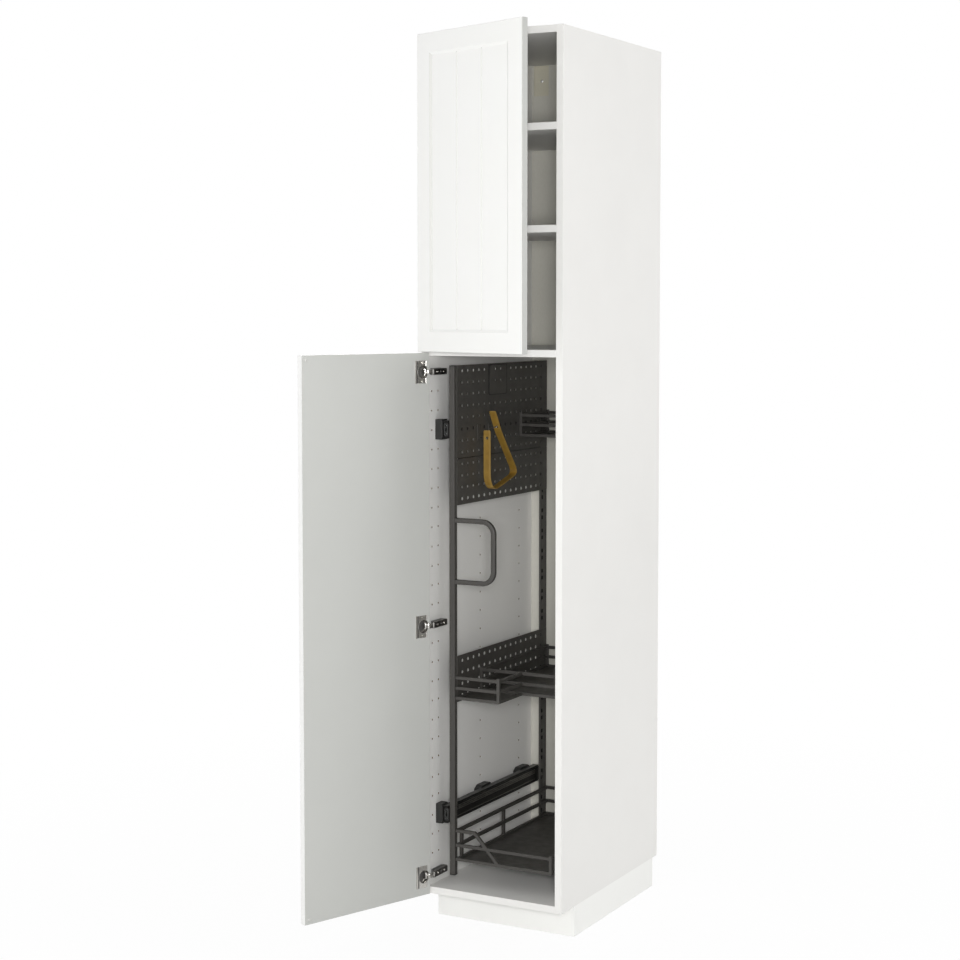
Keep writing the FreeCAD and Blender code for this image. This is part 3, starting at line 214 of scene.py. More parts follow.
def band(bm: bmesh.types.BMesh, first: Sequence[bmesh.types.BMVert], second: Sequence[bmesh.types.BMVert],
         finish: int = 0) -> None:
    """Add the ring of faces between two closed loops of the same length.

    Args:
        bm: The mesh being built.
        first: Vertices of the first loop.
        second: Vertices of the second loop.
        finish: Number of the faces' finish.
    """
    for i in range(len(first)):
        j = (i + 1) % len(first)
        bm.faces.new((first[i], first[j], second[j], second[i])).material_index = finish


def prism(bm: bmesh.types.BMesh, outline: Sequence[Point], low: float, high: float, axis: Axis) -> None:
    """Add a closed prism over an outline.

    Args:
        bm: The mesh being built.
        outline: Corner points in millimetres.
        low: Where it starts along the axis.
        high: Where it ends along the axis.
        axis: The direction it is drawn out along.
    """
    near, far = (loop_of(bm, outline, depth, axis) for depth in (low, high))
    band(bm, near, far)
    bm.faces.new(near[::-1])
    bm.faces.new(far)


def pierced(bm: bmesh.types.BMesh, outline: Sequence[Point], holes: Sequence[Sequence[Point]], low: float, high: float,
            axis: Axis) -> None:
    """Add a flat plate with holes through it.

    Args:
        bm: The mesh being built.
        outline: Outer corner points in millimetres.
        holes: One loop of points for each hole.
        low: Where the plate starts along the axis.
        high: Where it ends along the axis.
        axis: The direction of its thickness.
    """
    edges = []
    for points in (outline, *holes):
        loop = loop_of(bm, points, low, axis)
        edges += [bm.edges.new((loop[i], loop[(i + 1) % len(loop)])) for i in range(len(loop))]
    filled = bmesh.ops.triangle_fill(bm, use_beauty=True, edges=edges)
    faces = [item for item in filled["geom"] if isinstance(item, bmesh.types.BMFace)]
    thick = bmesh.ops.extrude_face_region(bm, geom=faces, use_keep_orig=True)
    moved = [item for item in thick["geom"] if isinstance(item, bmesh.types.BMVert)]
    bmesh.ops.translate(bm, verts=moved, vec=axis.spot(0, 0, high - low))


class CutEdge(Enum):
    """The colour of a hole's cut edge, numbered in the order of the sheet's finishes: the coat, two greys that paint
    light seen through the hole, and a near black that paints shade.
    """

    COATED = 0
    PAINTED_LIGHT = 1
    PAINTED_HALF_LIGHT = 2
    SHADED = 3


@dataclass(frozen=True)
class Hole:
    """A round hole: its centre, its radius and the colour of its cut edge; all but the coated edge are painted light or
    painted shade.
    """

    a: float
    b: float
    radius: float
    edge: CutEdge = CutEdge.COATED


def punched(bm: bmesh.types.BMesh, outline: Sequence[Point], places: Sequence[Hole], rim: float,
            low: float, high: float, axis: Axis, sides: int = 16) -> None:
    """Add a sheet with round holes whose rims are rolled.

    Args:
        bm: The mesh being built.
        outline: Outer corner points in millimetres.
        places: The holes.
        rim: Width of the rolled rim at each face.
        low: Where the sheet starts along the axis.
        high: Where it ends along the axis.
        axis: The direction of its thickness.
        sides: Number of sides of each hole.
    """
    holes = []
    for hole in places:
        steps = ((hole.radius + rim, low), (hole.radius, low + rim), (hole.radius, high - rim),
                 (hole.radius + rim, high))
        holes.append([loop_of(bm, circle(hole.a, hole.b, reach, sides), depth, axis) for reach, depth in steps])
    outer = [loop_of(bm, outline, depth, axis) for depth in (low, high)]
    for edge, loops in zip((CutEdge.COATED, *(hole.edge for hole in places)), (outer, *holes)):
        for first, second in zip(loops, loops[1:]):
            band(bm, first, second, edge.value)
    for end in (0, -1):
        edges = [edge for loops in (outer, *holes) for edge in edges_of(bm, loops[end])]
        bmesh.ops.triangle_fill(bm, use_beauty=True, edges=edges)


def turned(bm: bmesh.types.BMesh, outline: Sequence[Point], a: float, b: float, axis: Axis, count: int = 32) -> None:
    """Add a solid turned about an axis.

    Args:
        bm: The mesh being built.
        outline: Points as (radius, place along the axis); the ends close on the axis where their radius is 0.
        a: First coordinate of the axis.
        b: Second coordinate of the axis.
        axis: Direction of the axis.
        count: Number of sides.
    """
    loops = [loop_of(bm, circle(a, b, radius, count) if radius else [(a, b)], depth, axis) for radius, depth in outline]
    for first, second in zip(loops, loops[1:]):
        for i in range(count):
            j = (i + 1) % count
            quad = (first[i % len(first)], first[j % len(first)], second[j % len(second)], second[i % len(second)])
            bm.faces.new(list(dict.fromkeys(quad)))
    for loop in (loops[0], loops[-1]):
        if len(loop) > 1:
            bm.faces.new(loop)


def ring(bm: bmesh.types.BMesh, outline: Sequence[Point], a: float, b: float, axis: Axis, count: int = 32) -> None:
    """Add a ring: a closed outline turned about an axis that it doesn't touch.

    Args:
        bm: The mesh being built.
        outline: Points as (radius, place along the axis).
        a: First coordinate of the axis.
        b: Second coordinate of the axis.
        axis: Direction of the axis.
        count: Number of sides.
    """
    loops = [loop_of(bm, circle(a, b, radius, count), depth, axis) for radius, depth in outline]
    for first, second in zip(loops, loops[1:] + loops[:1]):
        band(bm, first, second)


def swept(bm: bmesh.types.BMesh, path: Sequence[Vector], side: Vector, section: Sequence[Point]) -> None:
    """Add a bar of even section along a line that lies in one plane.

    Args:
        bm: The mesh being built.
        path: Points of the line in metres.
        side: Unit vector square to the line's plane.
        section: Outline of the bar as (across, along side), in metres.
    """
    loops = []
    for index, spot in enumerate(path):
        before = path[max(index - 1, 0)]
        after = path[min(index + 1, len(path) - 1)]
        across = side.cross((after - before).normalized())
        loops.append([bm.verts.new(spot + across * u + side * v) for u, v in section])
    for first, second in zip(loops, loops[1:]):
        band(bm, first, second)
    bm.faces.new(loops[0][::-1])
    bm.faces.new(loops[-1])


def eased_edges(bm: bmesh.types.BMesh, width: float, segments: int = 2, limit: float = 35.0) -> None:
    """Round the sharp edges of a mesh.

    Args:
        bm: The mesh being built.
        width: Width of the rounding in millimetres.
        segments: Steps across the rounding.
        limit: Edges that turn by more than this many degrees are rounded.
    """
    bmesh.ops.recalc_face_normals(bm, faces=bm.faces)
    turn = math.radians(limit)
    edges = [edge for edge in bm.edges if len(edge.link_faces) == 2 and edge.calc_face_angle(0.0) > turn]
    bmesh.ops.bevel(bm, geom=edges, offset=width * MM, segments=segments, profile=0.5, affect="EDGES",
                    clamp_overlap=True)


# ---------------------------------------------------------------- finishes


@dataclass(frozen=True)
class Grain:
    """A noise: its cells for each metre, its finer octaves, their weight and its scale on each axis."""

    scale: float
    detail: float = 2.0
    weight: float = 0.5
    stretch: Place = (1.0, 1.0, 1.0)


@dataclass(frozen=True)
class Relief:
    """A relief of the surface: the share of it that shows and its depth in millimetres."""

    strength: float
    depth: float


class Bench:
    """Builds the node tree of one finish."""

    def __init__(self, name: str) -> None:
        """Start an empty finish.

        Args:
            name: Name of the material.
        """
        self.material = bpy.data.materials.new(name)
        self.material.use_nodes = True
        self.tree = self.material.node_tree
        self.shader = self.tree.nodes["Principled BSDF"]
        self.coordinates = self.node("ShaderNodeTexCoord")

    def node(self, kind: str, **settings: object) -> bpy.types.Node:
        """Add a node.

        Args:
            kind: Blender's name of the node's kind.
            settings: Properties to set on it.

        Returns:
            The new node.
        """
        made = self.tree.nodes.new(kind)
        for key, value in settings.items():
            setattr(made, key, value)
        return made

    def link(self, source: bpy.types.NodeSocket, target: bpy.types.NodeSocket) -> None:
        """Join two sockets."""
        self.tree.links.new(source, target)

    def stretched(self, scale: Sequence[float]) -> bpy.types.NodeSocket:
        """Return the object's own coordinates, scaled on each axis.

        Args:
            scale: One factor for each axis.

        Returns:
            The socket of the scaled coordinates.
        """
        mapping = self.node("ShaderNodeMapping")
        mapping.inputs["Scale"].default_value = scale
        self.link(self.coordinates.outputs["Object"], mapping.inputs["Vector"])
        return mapping.outputs["Vector"]

    def noise(self, grain: Grain) -> bpy.types.NodeSocket:
        """Return a noise over the object.

        Args:
            grain: The noise's settings.

        Returns:
            The noise's value socket.
        """
        noise = self.node("ShaderNodeTexNoise")
        noise.inputs["Scale"].default_value = grain.scale
        noise.inputs["Detail"].default_value = grain.detail
        noise.inputs["Roughness"].default_value = grain.weight
        self.link(self.stretched(grain.stretch), noise.inputs["Vector"])
        return noise.outputs["Fac"]

    def spread(self, value: bpy.types.NodeSocket, low: float, high: float, start: float = 0.3,
               end: float = 0.7) -> bpy.types.NodeSocket:
        """Return a value carried from one range to another.

        Args:
            value: The socket to read.
            low: Result at the start of the range.
            high: Result at the end of the range.
            start: Start of the range read.
            end: End of the range read.

        Returns:
            The socket of the result.
        """
        ranged = self.node("ShaderNodeMapRange")
        for name, number in (("From Min", start), ("From Max", end), ("To Min", low), ("To Max", high)):
            ranged.inputs[name].default_value = number
        self.link(value, ranged.inputs["Value"])
        return ranged.outputs["Result"]

    def blend(self, share: bpy.types.NodeSocket, first: Colour | bpy.types.NodeSocket,
              second: Colour | bpy.types.NodeSocket) -> bpy.types.NodeSocket:
        """Return a colour between two others.

        Args:
            share: Socket with the share of the second colour.
            first: A colour or its socket.
            second: A colour or its socket.

        Returns:
            The colour's socket.
        """
        mix = self.node("ShaderNodeMix", data_type="RGBA")
        self.link(share, mix.inputs["Factor"])
        for key, colour in (("A", first), ("B", second)):
            socket = next(item for item in mix.inputs if item.name == key and item.type == "RGBA")
            if isinstance(colour, tuple):
                socket.default_value = linear(colour)
            else:
                self.link(colour, socket)
        return next(item for item in mix.outputs if item.type == "RGBA")

    def mottled(self, value: bpy.types.NodeSocket, first: Colour, second: Colour) -> bpy.types.NodeSocket:
        """Return a colour that goes from one to another as a noise does."""
        return self.blend(self.spread(value, 0.0, 1.0), first, second)

    def worn(self, share: float, start: float, end: float) -> bpy.types.NodeSocket:
        """Return how worn the surface is, from its outer edges.

        Args:
            share: Wear of the sharpest edges.
            start: Sharpness at which the wear starts.
            end: Sharpness at which it is full.

        Returns:
            The socket of the wear.
        """
        geometry = self.node("ShaderNodeNewGeometry")
        return self.spread(geometry.outputs["Pointiness"], 0.0, share, start, end)

    def facing(self, direction: Sequence[float], edge: float) -> bpy.types.NodeSocket:
        """Return 1 where the surface's own normal points along a direction, and 0 elsewhere.

        Args:
            direction: A unit direction in the object's own space.
            edge: Cosine from which on a face counts.

        Returns:
            The mask's socket.
        """
        dot = self.node("ShaderNodeVectorMath", operation="DOT_PRODUCT")
        dot.inputs[1].default_value = direction
        self.link(self.coordinates.outputs["Normal"], dot.inputs[0])
        above = self.node("ShaderNodeMath", operation="GREATER_THAN")
        above.inputs[1].default_value = edge
        self.link(dot.outputs["Value"], above.inputs[0])
        return above.outputs[0]

    def bump(self, height: bpy.types.NodeSocket, relief: Relief) -> None:
        """Give the surface a relief, over the ones that it already has.

        Args:
            height: Socket with the height.
            relief: The relief's settings.
        """
        bump = self.node("ShaderNodeBump")
        bump.inputs["Strength"].default_value = relief.strength
        bump.inputs["Distance"].default_value = relief.depth * MM
        self.link(height, bump.inputs["Height"])
        previous = self.shader.inputs["Normal"].links
        if previous:
            self.link(previous[0].from_socket, bump.inputs["Normal"])
        self.link(bump.outputs["Normal"], self.shader.inputs["Normal"])

    def set(self, **sockets: float) -> None:
        """Set plain values on the shader, named with underscores for spaces."""
        for name, value in sockets.items():
            self.shader.inputs[name.replace("_", " ")].default_value = value

    def colour(self, source: bpy.types.NodeSocket) -> None:
        """Give the shader its colour."""
        self.link(source, self.shader.inputs["Base Color"])

    def roughness(self, value: bpy.types.NodeSocket, middle: float, under: float, over: float) -> None:
        """Give the shader a roughness that varies with a noise.

        Args:
            value: Socket with the noise.
            middle: The finish's roughness.
            under: How far below it the noise goes.
            over: How far above it the noise goes.
        """
        self.link(self.spread(value, middle - under, middle + over), self.shader.inputs["Roughness"])


def linear(colour: Colour) -> tuple[float, float, float, float]:
    """Return the linear light that shows a written colour.

    Args:
        colour: Red, green and blue, each 0 to 255.

    Returns:
        Red, green, blue and full cover, each 0 to 1.
    """
    shares = [value / 255 for value in colour]
    light = [value / 12.92 if value <= 0.04045 else ((value + 0.055) / 1.055) ** 2.4 for value in shares]
    return (light[0], light[1], light[2], 1.0)


@dataclass(frozen=True)
class BoardFoil:
    """White melamine foil on particle board: matt, with a faint pearl in its grain."""

    name: str
    colour: Colour = (232, 231, 228)
    cloud: Colour = (230, 229, 226)
    roughness: float = 0.42
    clouds: Grain = Grain(7.0, 4.0)
    sheen: Grain = Grain(260.0, 3.0)
    pearl: Grain = Grain(900.0)
    relief: Relief = Relief(0.12, 0.04)

    def material(self) -> bpy.types.Material:
        """Build the finish's node tree.

        Returns:
            The finish as a material.
        """
        bench = Bench(self.name)
        bench.colour(bench.mottled(bench.noise(self.clouds), self.colour, self.cloud))
        bench.roughness(bench.noise(self.sheen), self.roughness, 0.03, 0.04)
        bench.bump(bench.noise(self.pearl), self.relief)
        bench.set(IOR=1.46)
        return bench.material


@dataclass(frozen=True)
class RawBoard:
    """Raw particle board, seen where the foil is drilled through."""

    name: str
    chip: Colour = (128, 104, 74)
    dust: Colour = (92, 74, 52)
    roughness: float = 0.85
    chips: Grain = Grain(1600.0, 4.0, 0.7)
    relief: Relief = Relief(0.5, 0.2)

    def material(self) -> bpy.types.Material:
        """Build the finish's node tree.

        Returns:
            The finish as a material.
        """
        bench = Bench(self.name)
        chips = bench.noise(self.chips)
        bench.colour(bench.mottled(chips, self.chip, self.dust))
        bench.roughness(chips, self.roughness, 0.05, 0.1)
        bench.bump(chips, self.relief)
        return bench.material


@dataclass(frozen=True)
class DoorFoil:
    """White foil pressed over a milled door, with a greyer plain lining behind.

    inner is the unit direction, in the frame, that the door's lining faces. The milled slopes that face the hinge
    side get a darker tone, which is painted shade; the lining and the edges each have a tone of their own, and a grey
    edge tone is painted shade.
    """

    name: str
    inner: Place
    colour: Colour = (246, 246, 244)
    cloud: Colour = (245, 245, 242)
    lining: Colour = (189, 190, 186)
    lining_cloud: Colour = (187, 188, 184)
    shaded_slope: Colour = (217, 217, 213)
    rim: Colour = (246, 246, 244)
    shaded_slope_from: float = 0.25
    flat_from: float = 0.55
    roughness: float = 0.34
    clouds: Grain = Grain(5.0, 3.0)
    sheen: Grain = Grain(40.0, 3.0)
    peel: Grain = Grain(420.0)
    relief: Relief = Relief(0.10, 0.04)

    def material(self) -> bpy.types.Material:
        """Build the finish's node tree.

        Returns:
            The finish as a material.
        """
        bench = Bench(self.name)
        cloud = bench.spread(bench.noise(self.clouds), 0.0, 1.0)
        front = bench.blend(cloud, self.colour, self.cloud)
        back = bench.blend(cloud, self.lining, self.lining_cloud)
        outward = tuple(-part for part in self.inner)
        across = (-outward[1], outward[0], 0.0)
        # Slopes turned across the door get a darker colour here: painted shade on the milled slopes.
        front = bench.blend(bench.facing(across, self.shaded_slope_from), front, self.shaded_slope)
        # Faces that are neither front nor lining are the edges and take rim; a grey rim paints the shade on the door's
        # edges.
        back = bench.blend(bench.facing(self.inner, self.flat_from), self.rim, back)
        bench.colour(bench.blend(bench.facing(outward, self.flat_from), back, front))
        bench.roughness(bench.noise(self.sheen), self.roughness, 0.03, 0.05)
        bench.bump(bench.noise(self.peel), self.relief)
        bench.set(IOR=1.5, Coat_Weight=0.06, Coat_Roughness=0.3)
        return bench.material


@dataclass(frozen=True)
class BackSheet:
    """Thin pressed fibre board with a painted face."""

    name: str
    colour: Colour = (212, 210, 201)
    cloud: Colour = (206, 204, 194)
    roughness: float = 0.6
    fibres: Grain = Grain(260.0, 5.0, 0.7, (1.0, 1.0, 0.35))
    relief: Relief = Relief(0.2, 0.06)

    def material(self) -> bpy.types.Material:
        """Build the finish's node tree.

        Returns:
            The finish as a material.
        """
        bench = Bench(self.name)
        fibres = bench.noise(self.fibres)
        bench.colour(bench.mottled(fibres, self.colour, self.cloud))
        bench.roughness(fibres, self.roughness, 0.05, 0.1)
        bench.bump(fibres, self.relief)
        return bench.material


@dataclass(frozen=True)
class PowderCoat:
    """Dark grey powder coating: a fine orange peel with lighter grains."""

    name: str
    colour: Colour = (58, 56, 53)
    speck: Colour = (69, 67, 63)
    worn: Colour = (74, 72, 68)
    roughness: float = 0.46
    specks: Grain = Grain(2600.0)
    specks_from: float = 0.55
    specks_full: float = 0.75
    sheen: Grain = Grain(45.0, 3.0)
    peel: Grain = Grain(1500.0)
    peel_relief: Relief = Relief(0.35, 0.05)
    waves: Grain = Grain(420.0, 1.0)
    waves_relief: Relief = Relief(0.15, 0.06)

    def material(self) -> bpy.types.Material:
        """Build the finish's node tree.

        Returns:
            The finish as a material.
        """
        bench = Bench(self.name)
        speckle = bench.spread(bench.noise(self.specks), 0.0, 1.0, self.specks_from, self.specks_full)
        base = bench.blend(speckle, self.colour, self.speck)
        bench.colour(bench.blend(bench.worn(0.7, 0.52, 0.62), base, self.worn))
        bench.roughness(bench.noise(self.sheen), self.roughness, 0.06, 0.08)
        bench.bump(bench.noise(self.peel), self.peel_relief)
        bench.bump(bench.noise(self.waves), self.waves_relief)
        bench.set(IOR=1.5)
        return bench.material


@dataclass(frozen=True)
class Metal:
    """Plated or rolled metal with streaks along one direction."""

    name: str
    colour: Colour
    streak: Colour
    roughness: float
    metallic: float = 1.0
    streaks: Grain = Grain(900.0, 4.0, 0.6, (1.0, 0.06, 1.0))
    sheen: Grain = Grain(120.0, 3.0)
    relief: Relief = Relief(0.05, 0.03)

    def material(self) -> bpy.types.Material:
        """Build the finish's node tree.

        Returns:
            The finish as a material.
        """
        bench = Bench(self.name)
        streaks = bench.noise(self.streaks)
        bench.colour(bench.mottled(streaks, self.colour, self.streak))
        bench.roughness(bench.noise(self.sheen), self.roughness, 0.05, 0.08)
        bench.bump(streaks, self.relief)
        bench.set(Metallic=self.metallic)
        return bench.material


@dataclass(frozen=True)
class MouldedPlastic:
    """Moulded plastic with a fine eroded grain."""

    name: str
    colour: Colour
    cloud: Colour
    roughness: float = 0.5
    clouds: Grain = Grain(30.0, 3.0)
    sheen: Grain = Grain(300.0, 3.0)
    eroded: Grain = Grain(1400.0, 3.0)
    relief: Relief = Relief(0.3, 0.05)

    def material(self) -> bpy.types.Material:
        """Build the finish's node tree.

        Returns:
            The finish as a material.
        """
        bench = Bench(self.name)
        bench.colour(bench.mottled(bench.noise(self.clouds), self.colour, self.cloud))
        bench.roughness(bench.noise(self.sheen), self.roughness, 0.08, 0.08)
        bench.bump(bench.noise(self.eroded), self.relief)
        bench.set(IOR=1.49)
        return bench.material


@dataclass(frozen=True)
class StrapHide:
    """Ochre hide with a pebbled grain and paler rubbed places."""

    name: str
    colour: Colour = (140, 108, 38)
    dark: Colour = (122, 93, 30)
    rubbed: Colour = (166, 140, 78)
    roughness: float = 0.55
    patches: Grain = Grain(60.0, 4.0)
    sheen: Grain = Grain(200.0, 3.0)
    pebble_scale: float = 1100.0
    crease_width: float = 0.25
    crease_relief: Relief = Relief(0.5, 0.12)
    pores: Grain = Grain(2200.0)
    pores_relief: Relief = Relief(0.2, 0.05)

    def material(self) -> bpy.types.Material:
        """Build the finish's node tree.

        Returns:
            The finish as a material.
        """
        bench = Bench(self.name)
        pebbles = bench.node("ShaderNodeTexVoronoi", feature="DISTANCE_TO_EDGE")
        pebbles.inputs["Scale"].default_value = self.pebble_scale
        bench.link(bench.coordinates.outputs["Object"], pebbles.inputs["Vector"])
        crease = bench.spread(pebbles.outputs["Distance"], 0.0, 1.0, 0.0, self.crease_width)
        body = bench.mottled(bench.noise(self.patches), self.colour, self.dark)
        bench.colour(bench.blend(bench.worn(0.9, 0.5, 0.6), body, self.rubbed))
        bench.roughness(bench.noise(self.sheen), self.roughness, 0.08, 0.1)
        bench.bump(crease, self.crease_relief)
        bench.bump(bench.noise(self.pores), self.pores_relief)
        bench.set(IOR=1.45)
        return bench.material


class Workshop:
    """Holds the finishes and puts pieces into the scene."""

    def __init__(self) -> None:
        """Make every finish once."""
        self.finishes = {
            Slot.BOARD: BoardFoil("board_foil").material(),
            Slot.DOOR: DoorFoil("plinth_foil", inner=(0.0, 0.0, 1.0), rim=(241, 241, 238)).material(),
            Slot.BACK: BackSheet("back_sheet").material(),
            Slot.WHITE_PLASTIC: MouldedPlastic("clear_white_plastic", (200, 200, 196), (192, 192, 188)).material(),
            Slot.STEEL: Metal("zinc_plate", (186, 187, 188), (164, 165, 167), 0.36).material(),
            Slot.HINGE: Metal("dark_nickel", (116, 114, 111), (92, 90, 88), 0.36).material(),
            Slot.NICKEL: Metal("bright_nickel", (208, 206, 202), (188, 186, 182), 0.2).material(),
            Slot.RUNNER: Metal("runner_lacquer", (44, 43, 42), (36, 35, 34), 0.34, metallic=0.55).material(),
            Slot.COAT: PowderCoat("dark_powder_coat").material(),
            Slot.PLASTIC: MouldedPlastic("dark_plastic", (40, 40, 39), (34, 34, 33)).material(),
            Slot.STRAP: StrapHide("ochre_hide").material(),
        }
        self.slot_of = {row["node"]: Slot(row["material_slot"]) for row in frame["record"]["subparts"]}

    def dress(self, node: str, edge: float = 0.0, segments: int = 2,
              finish: bpy.types.Material | None = None) -> bpy.types.Object:
        """Give a node of the frame its finish and, where asked, rounded edges.

        Args:
            node: Name of the node.
            edge: Width of the rounding in millimetres, or 0 for none.
            segments: Steps across the rounding.
            finish: A finish other than the one of the node's slot.

        Returns:
            The node's object.
        """
        piece = frame["nodes"][node]
        material = finish or self.finishes[self.slot_of[node]]
        for holder in piece.material_slots:
            holder.material = material
        if edge > 0:
            weld = piece.modifiers.new("weld", "WELD")
            weld.merge_threshold = WELD_WITHIN
            bevel = piece.modifiers.new("edge", "BEVEL")
            bevel.width = edge * MM
            bevel.segments = segments
            bevel.limit_method = "ANGLE"
            bevel.angle_limit = math.radians(BEVEL_FROM)
            bevel.use_clamp_overlap = True
            bevel.harden_normals = True
            weights = piece.modifiers.new("flat_faces", "WEIGHTED_NORMAL")
            weights.keep_sharp = True
        LOG.info("dressed %s with %s", node, material.name)
        return piece

    def add(self, name: str, bm: bmesh.types.BMesh, body: Body, slot: Slot, replaces: Sequence[str] = (),
            finishes: Sequence[bpy.types.Material] = (), smooth: float = 30.0,
            place: Matrix | None = None) -> bpy.types.Object:
        """Turn a built mesh into a piece that rides on a body.

        Args:
            name: Name of the piece.
            bm: The built mesh; it is freed.
            body: The body it rides on.
            slot: The record's slot of its finish.
            replaces: Nodes that it stands for.
            finishes: Finishes other than the slot's, in the order of the faces' indices.
            smooth: Edges that turn by less than this many degrees are shaded smooth.
            place: Where the mesh's own space lies in the frame.

        Returns:
            The new object.
        """
        bmesh.ops.remove_doubles(bm, verts=bm.verts, dist=MERGE_WITHIN)
        bmesh.ops.recalc_face_normals(bm, faces=bm.faces)
        if place is not None:
            bmesh.ops.transform(bm, matrix=place, verts=bm.verts)
        mesh = bpy.data.meshes.new(name)
        bm.to_mesh(mesh)
        bm.free()
        mesh.polygons.foreach_set("use_smooth", [True] * len(mesh.polygons))
        mesh.set_sharp_from_angle(angle=math.radians(smooth))
        for finish in finishes or (self.finishes[slot],):
            mesh.materials.append(finish)
        piece = bpy.data.objects.new(name, mesh)
        bpy.context.scene.collection.objects.link(piece)
        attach(piece, body.value)
        if replaces:
            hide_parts(*replaces)
        LOG.info("built %s on %s, %d faces", name, body.value, len(mesh.polygons))
        return piece


# ---------------------------------------------------------------- sub-assemblies


@dataclass
class Carcass:
    """The boards of the case, their system holes, the loose shelves and the back.

    Sizes are in millimetres. Profiles are points of (radius, place along the axis).
    """

    shop: Workshop
    half_width: float = 200.0
    board: float = 18.0
    front: float = -300.0
    rear: float = 300.0
    bottom: float = 80.0
    top: float = 2280.0
    groove_front: float = 283.9
    groove_rear: float = 287.1
    groove_depth: float = 6.0
    hole_columns: tuple[float, ...] = (-279.0, -247.0, -20.0, 207.0)
    hole_rows: tuple[int, ...] = tuple(row for row in range(1, 44) if row != 28)
    row_pitch: float = 50.0
    hole_radius: float = 2.5
    hole_depth: float = 13.0
    hole_sides: int = 14
    shelf_rows: tuple[int, ...] = (34, 39)
    fixing: tuple[float, float] = (154.0, 2220.0)
    spacer_profile: tuple[Point, ...] = ((4.0, 289.0), (7.0, 289.0), (7.0, 290.0), (5.4, 290.4), (5.4, 299.6),
                                         (5.0, 300.0), (4.0, 300.0))
    pin_profile: tuple[Point, ...] = ((0, 12.0), (1.9, 11.6), (2.4, 10.6), (2.4, 0.0), (2.44, -0.4), (2.44, -8.0),
                                      (2.0, -8.9), (0, -9.0))

    def build(self) -> None:
        """Build and dress every piece of the case."""
        raw = RawBoard("drilled_board").material()
        self.side(-1, "side_panel_left", raw)
        self.side(1, "side_panel_right", raw)
        for node in ("bottom_panel", "divider_shelf", "top_panel", "shelf_lower", "shelf_upper"):
            self.shop.dress(node, 0.5)
        for node in ("back_panel_lower", "back_panel_upper"):
            self.shop.dress(node)
        self.shop.dress("back_joint_strip", 0.5)
        primed = Metal("primed_plate", (216, 212, 194), (208, 204, 186), 0.5, metallic=0.1).material()
        self.shop.dress("wall_brackets", 0.3, finish=primed)
        self.spacers()
        self.pins()

    def side(self, hand: int, node: str, raw: bpy.types.Material) -> None:
        """Build one side panel with round system holes and its back groove.

        Args:
            hand: -1 for the left panel and 1 for the right one.
            node: Name of the node that it stands for.
            raw: Finish of the board inside its holes.
        """
        outer = hand * self.half_width
        inner = hand * (self.half_width - self.board)
        groove = inner + hand * self.groove_depth
        plan = ((outer, self.front), (inner, self.front), (inner, self.groove_front), (groove, self.groove_front),
                (groove, self.groove_rear), (inner, self.groove_rear), (inner, self.rear), (outer, self.rear))
        drilled = 1
        bm = bmesh.new()
        low, high = (loop_of(bm, plan, z, Axis.Z) for z in (self.bottom, self.top))
        for i in range(len(plan)):
            j = (i + 1) % len(plan)
            if i != drilled:
                bm.faces.new((low[i], low[j], high[j], high[i]))
        bm.faces.new(low[::-1])
        bm.faces.new(high)
        edges = edges_of(bm, (low[drilled], low[drilled + 1], high[drilled + 1], high[drilled]))
        for y in self.hole_columns:
            for row in self.hole_rows:
                edges += self.hole(bm, y, self.bottom + row * self.row_pitch, inner, hand)
        bmesh.ops.triangle_fill(bm, use_beauty=True, edges=edges)
        foil = self.shop.finishes[Slot.BOARD]
        piece = self.shop.add(node + "_board", bm, Body.CARCASS, Slot.BOARD, [node], finishes=(foil, raw))
        soften(piece, 0.4)

    def hole(self, bm: bmesh.types.BMesh, y: float, z: float, inner: float, hand: int) -> list[bmesh.types.BMEdge]:
        """Add the wall and the floor of one system hole.

        Args:
            bm: The mesh being built.
            y: Place of the hole from front to rear.
            z: Height of the hole.
            inner: The panel's inner face.
            hand: -1 for the left panel and 1 for the right one.

        Returns:
            The edges of the hole's mouth.
        """
        points = circle(y, z, self.hole_radius, self.hole_sides)
        mouth, floor = (loop_of(bm, points, x, Axis.X) for x in (inner, inner + hand * self.hole_depth))
        band(bm, mouth, floor, 1)
        bm.faces.new(floor).material_index = 1
        return edges_of(bm, mouth)

    def spacers(self) -> None:
        """Build the sleeves that keep the wall plates' holes clear of the wall."""
        bm = bmesh.new()
        across, height = self.fixing
        for x in (-across, across):
            ring(bm, self.spacer_profile, x, height, Axis.Y)
        self.shop.add("wall_spacers", bm, Body.CARCASS, Slot.WHITE_PLASTIC)

    def pins(self) -> None:
        """Build the round shelf pins with their collars."""
        bm = bmesh.new()
        inner = self.half_width - self.board
        for row in self.shelf_rows:
            for y in (self.hole_columns[0], self.hole_columns[-1]):
                for hand in (-1, 1):
                    outline = [(radius, hand * (inner + depth)) for radius, depth in self.pin_profile]
                    turned(bm, outline, y, self.bottom + row * self.row_pitch, Axis.X, 20)
        self.shop.add("shelf_pins_turned", bm, Body.CARCASS, Slot.STEEL, ["shelf_pins"])


def soften(piece: bpy.types.Object, width: float, segments: int = 2, limit: float = 60.0) -> None:
    """Round the outer edges of a built piece with a modifier.

    Args:
        piece: The piece.
        width: Width of the rounding in millimetres.
        segments: Steps across the rounding.
        limit: Edges that turn by more than this many degrees are rounded.
    """
    bevel = piece.modifiers.new("edge", "BEVEL")
    bevel.width = width * MM
    bevel.segments = segments
    bevel.limit_method = "ANGLE"
    bevel.angle_limit = math.radians(limit)
    bevel.use_clamp_overlap = True


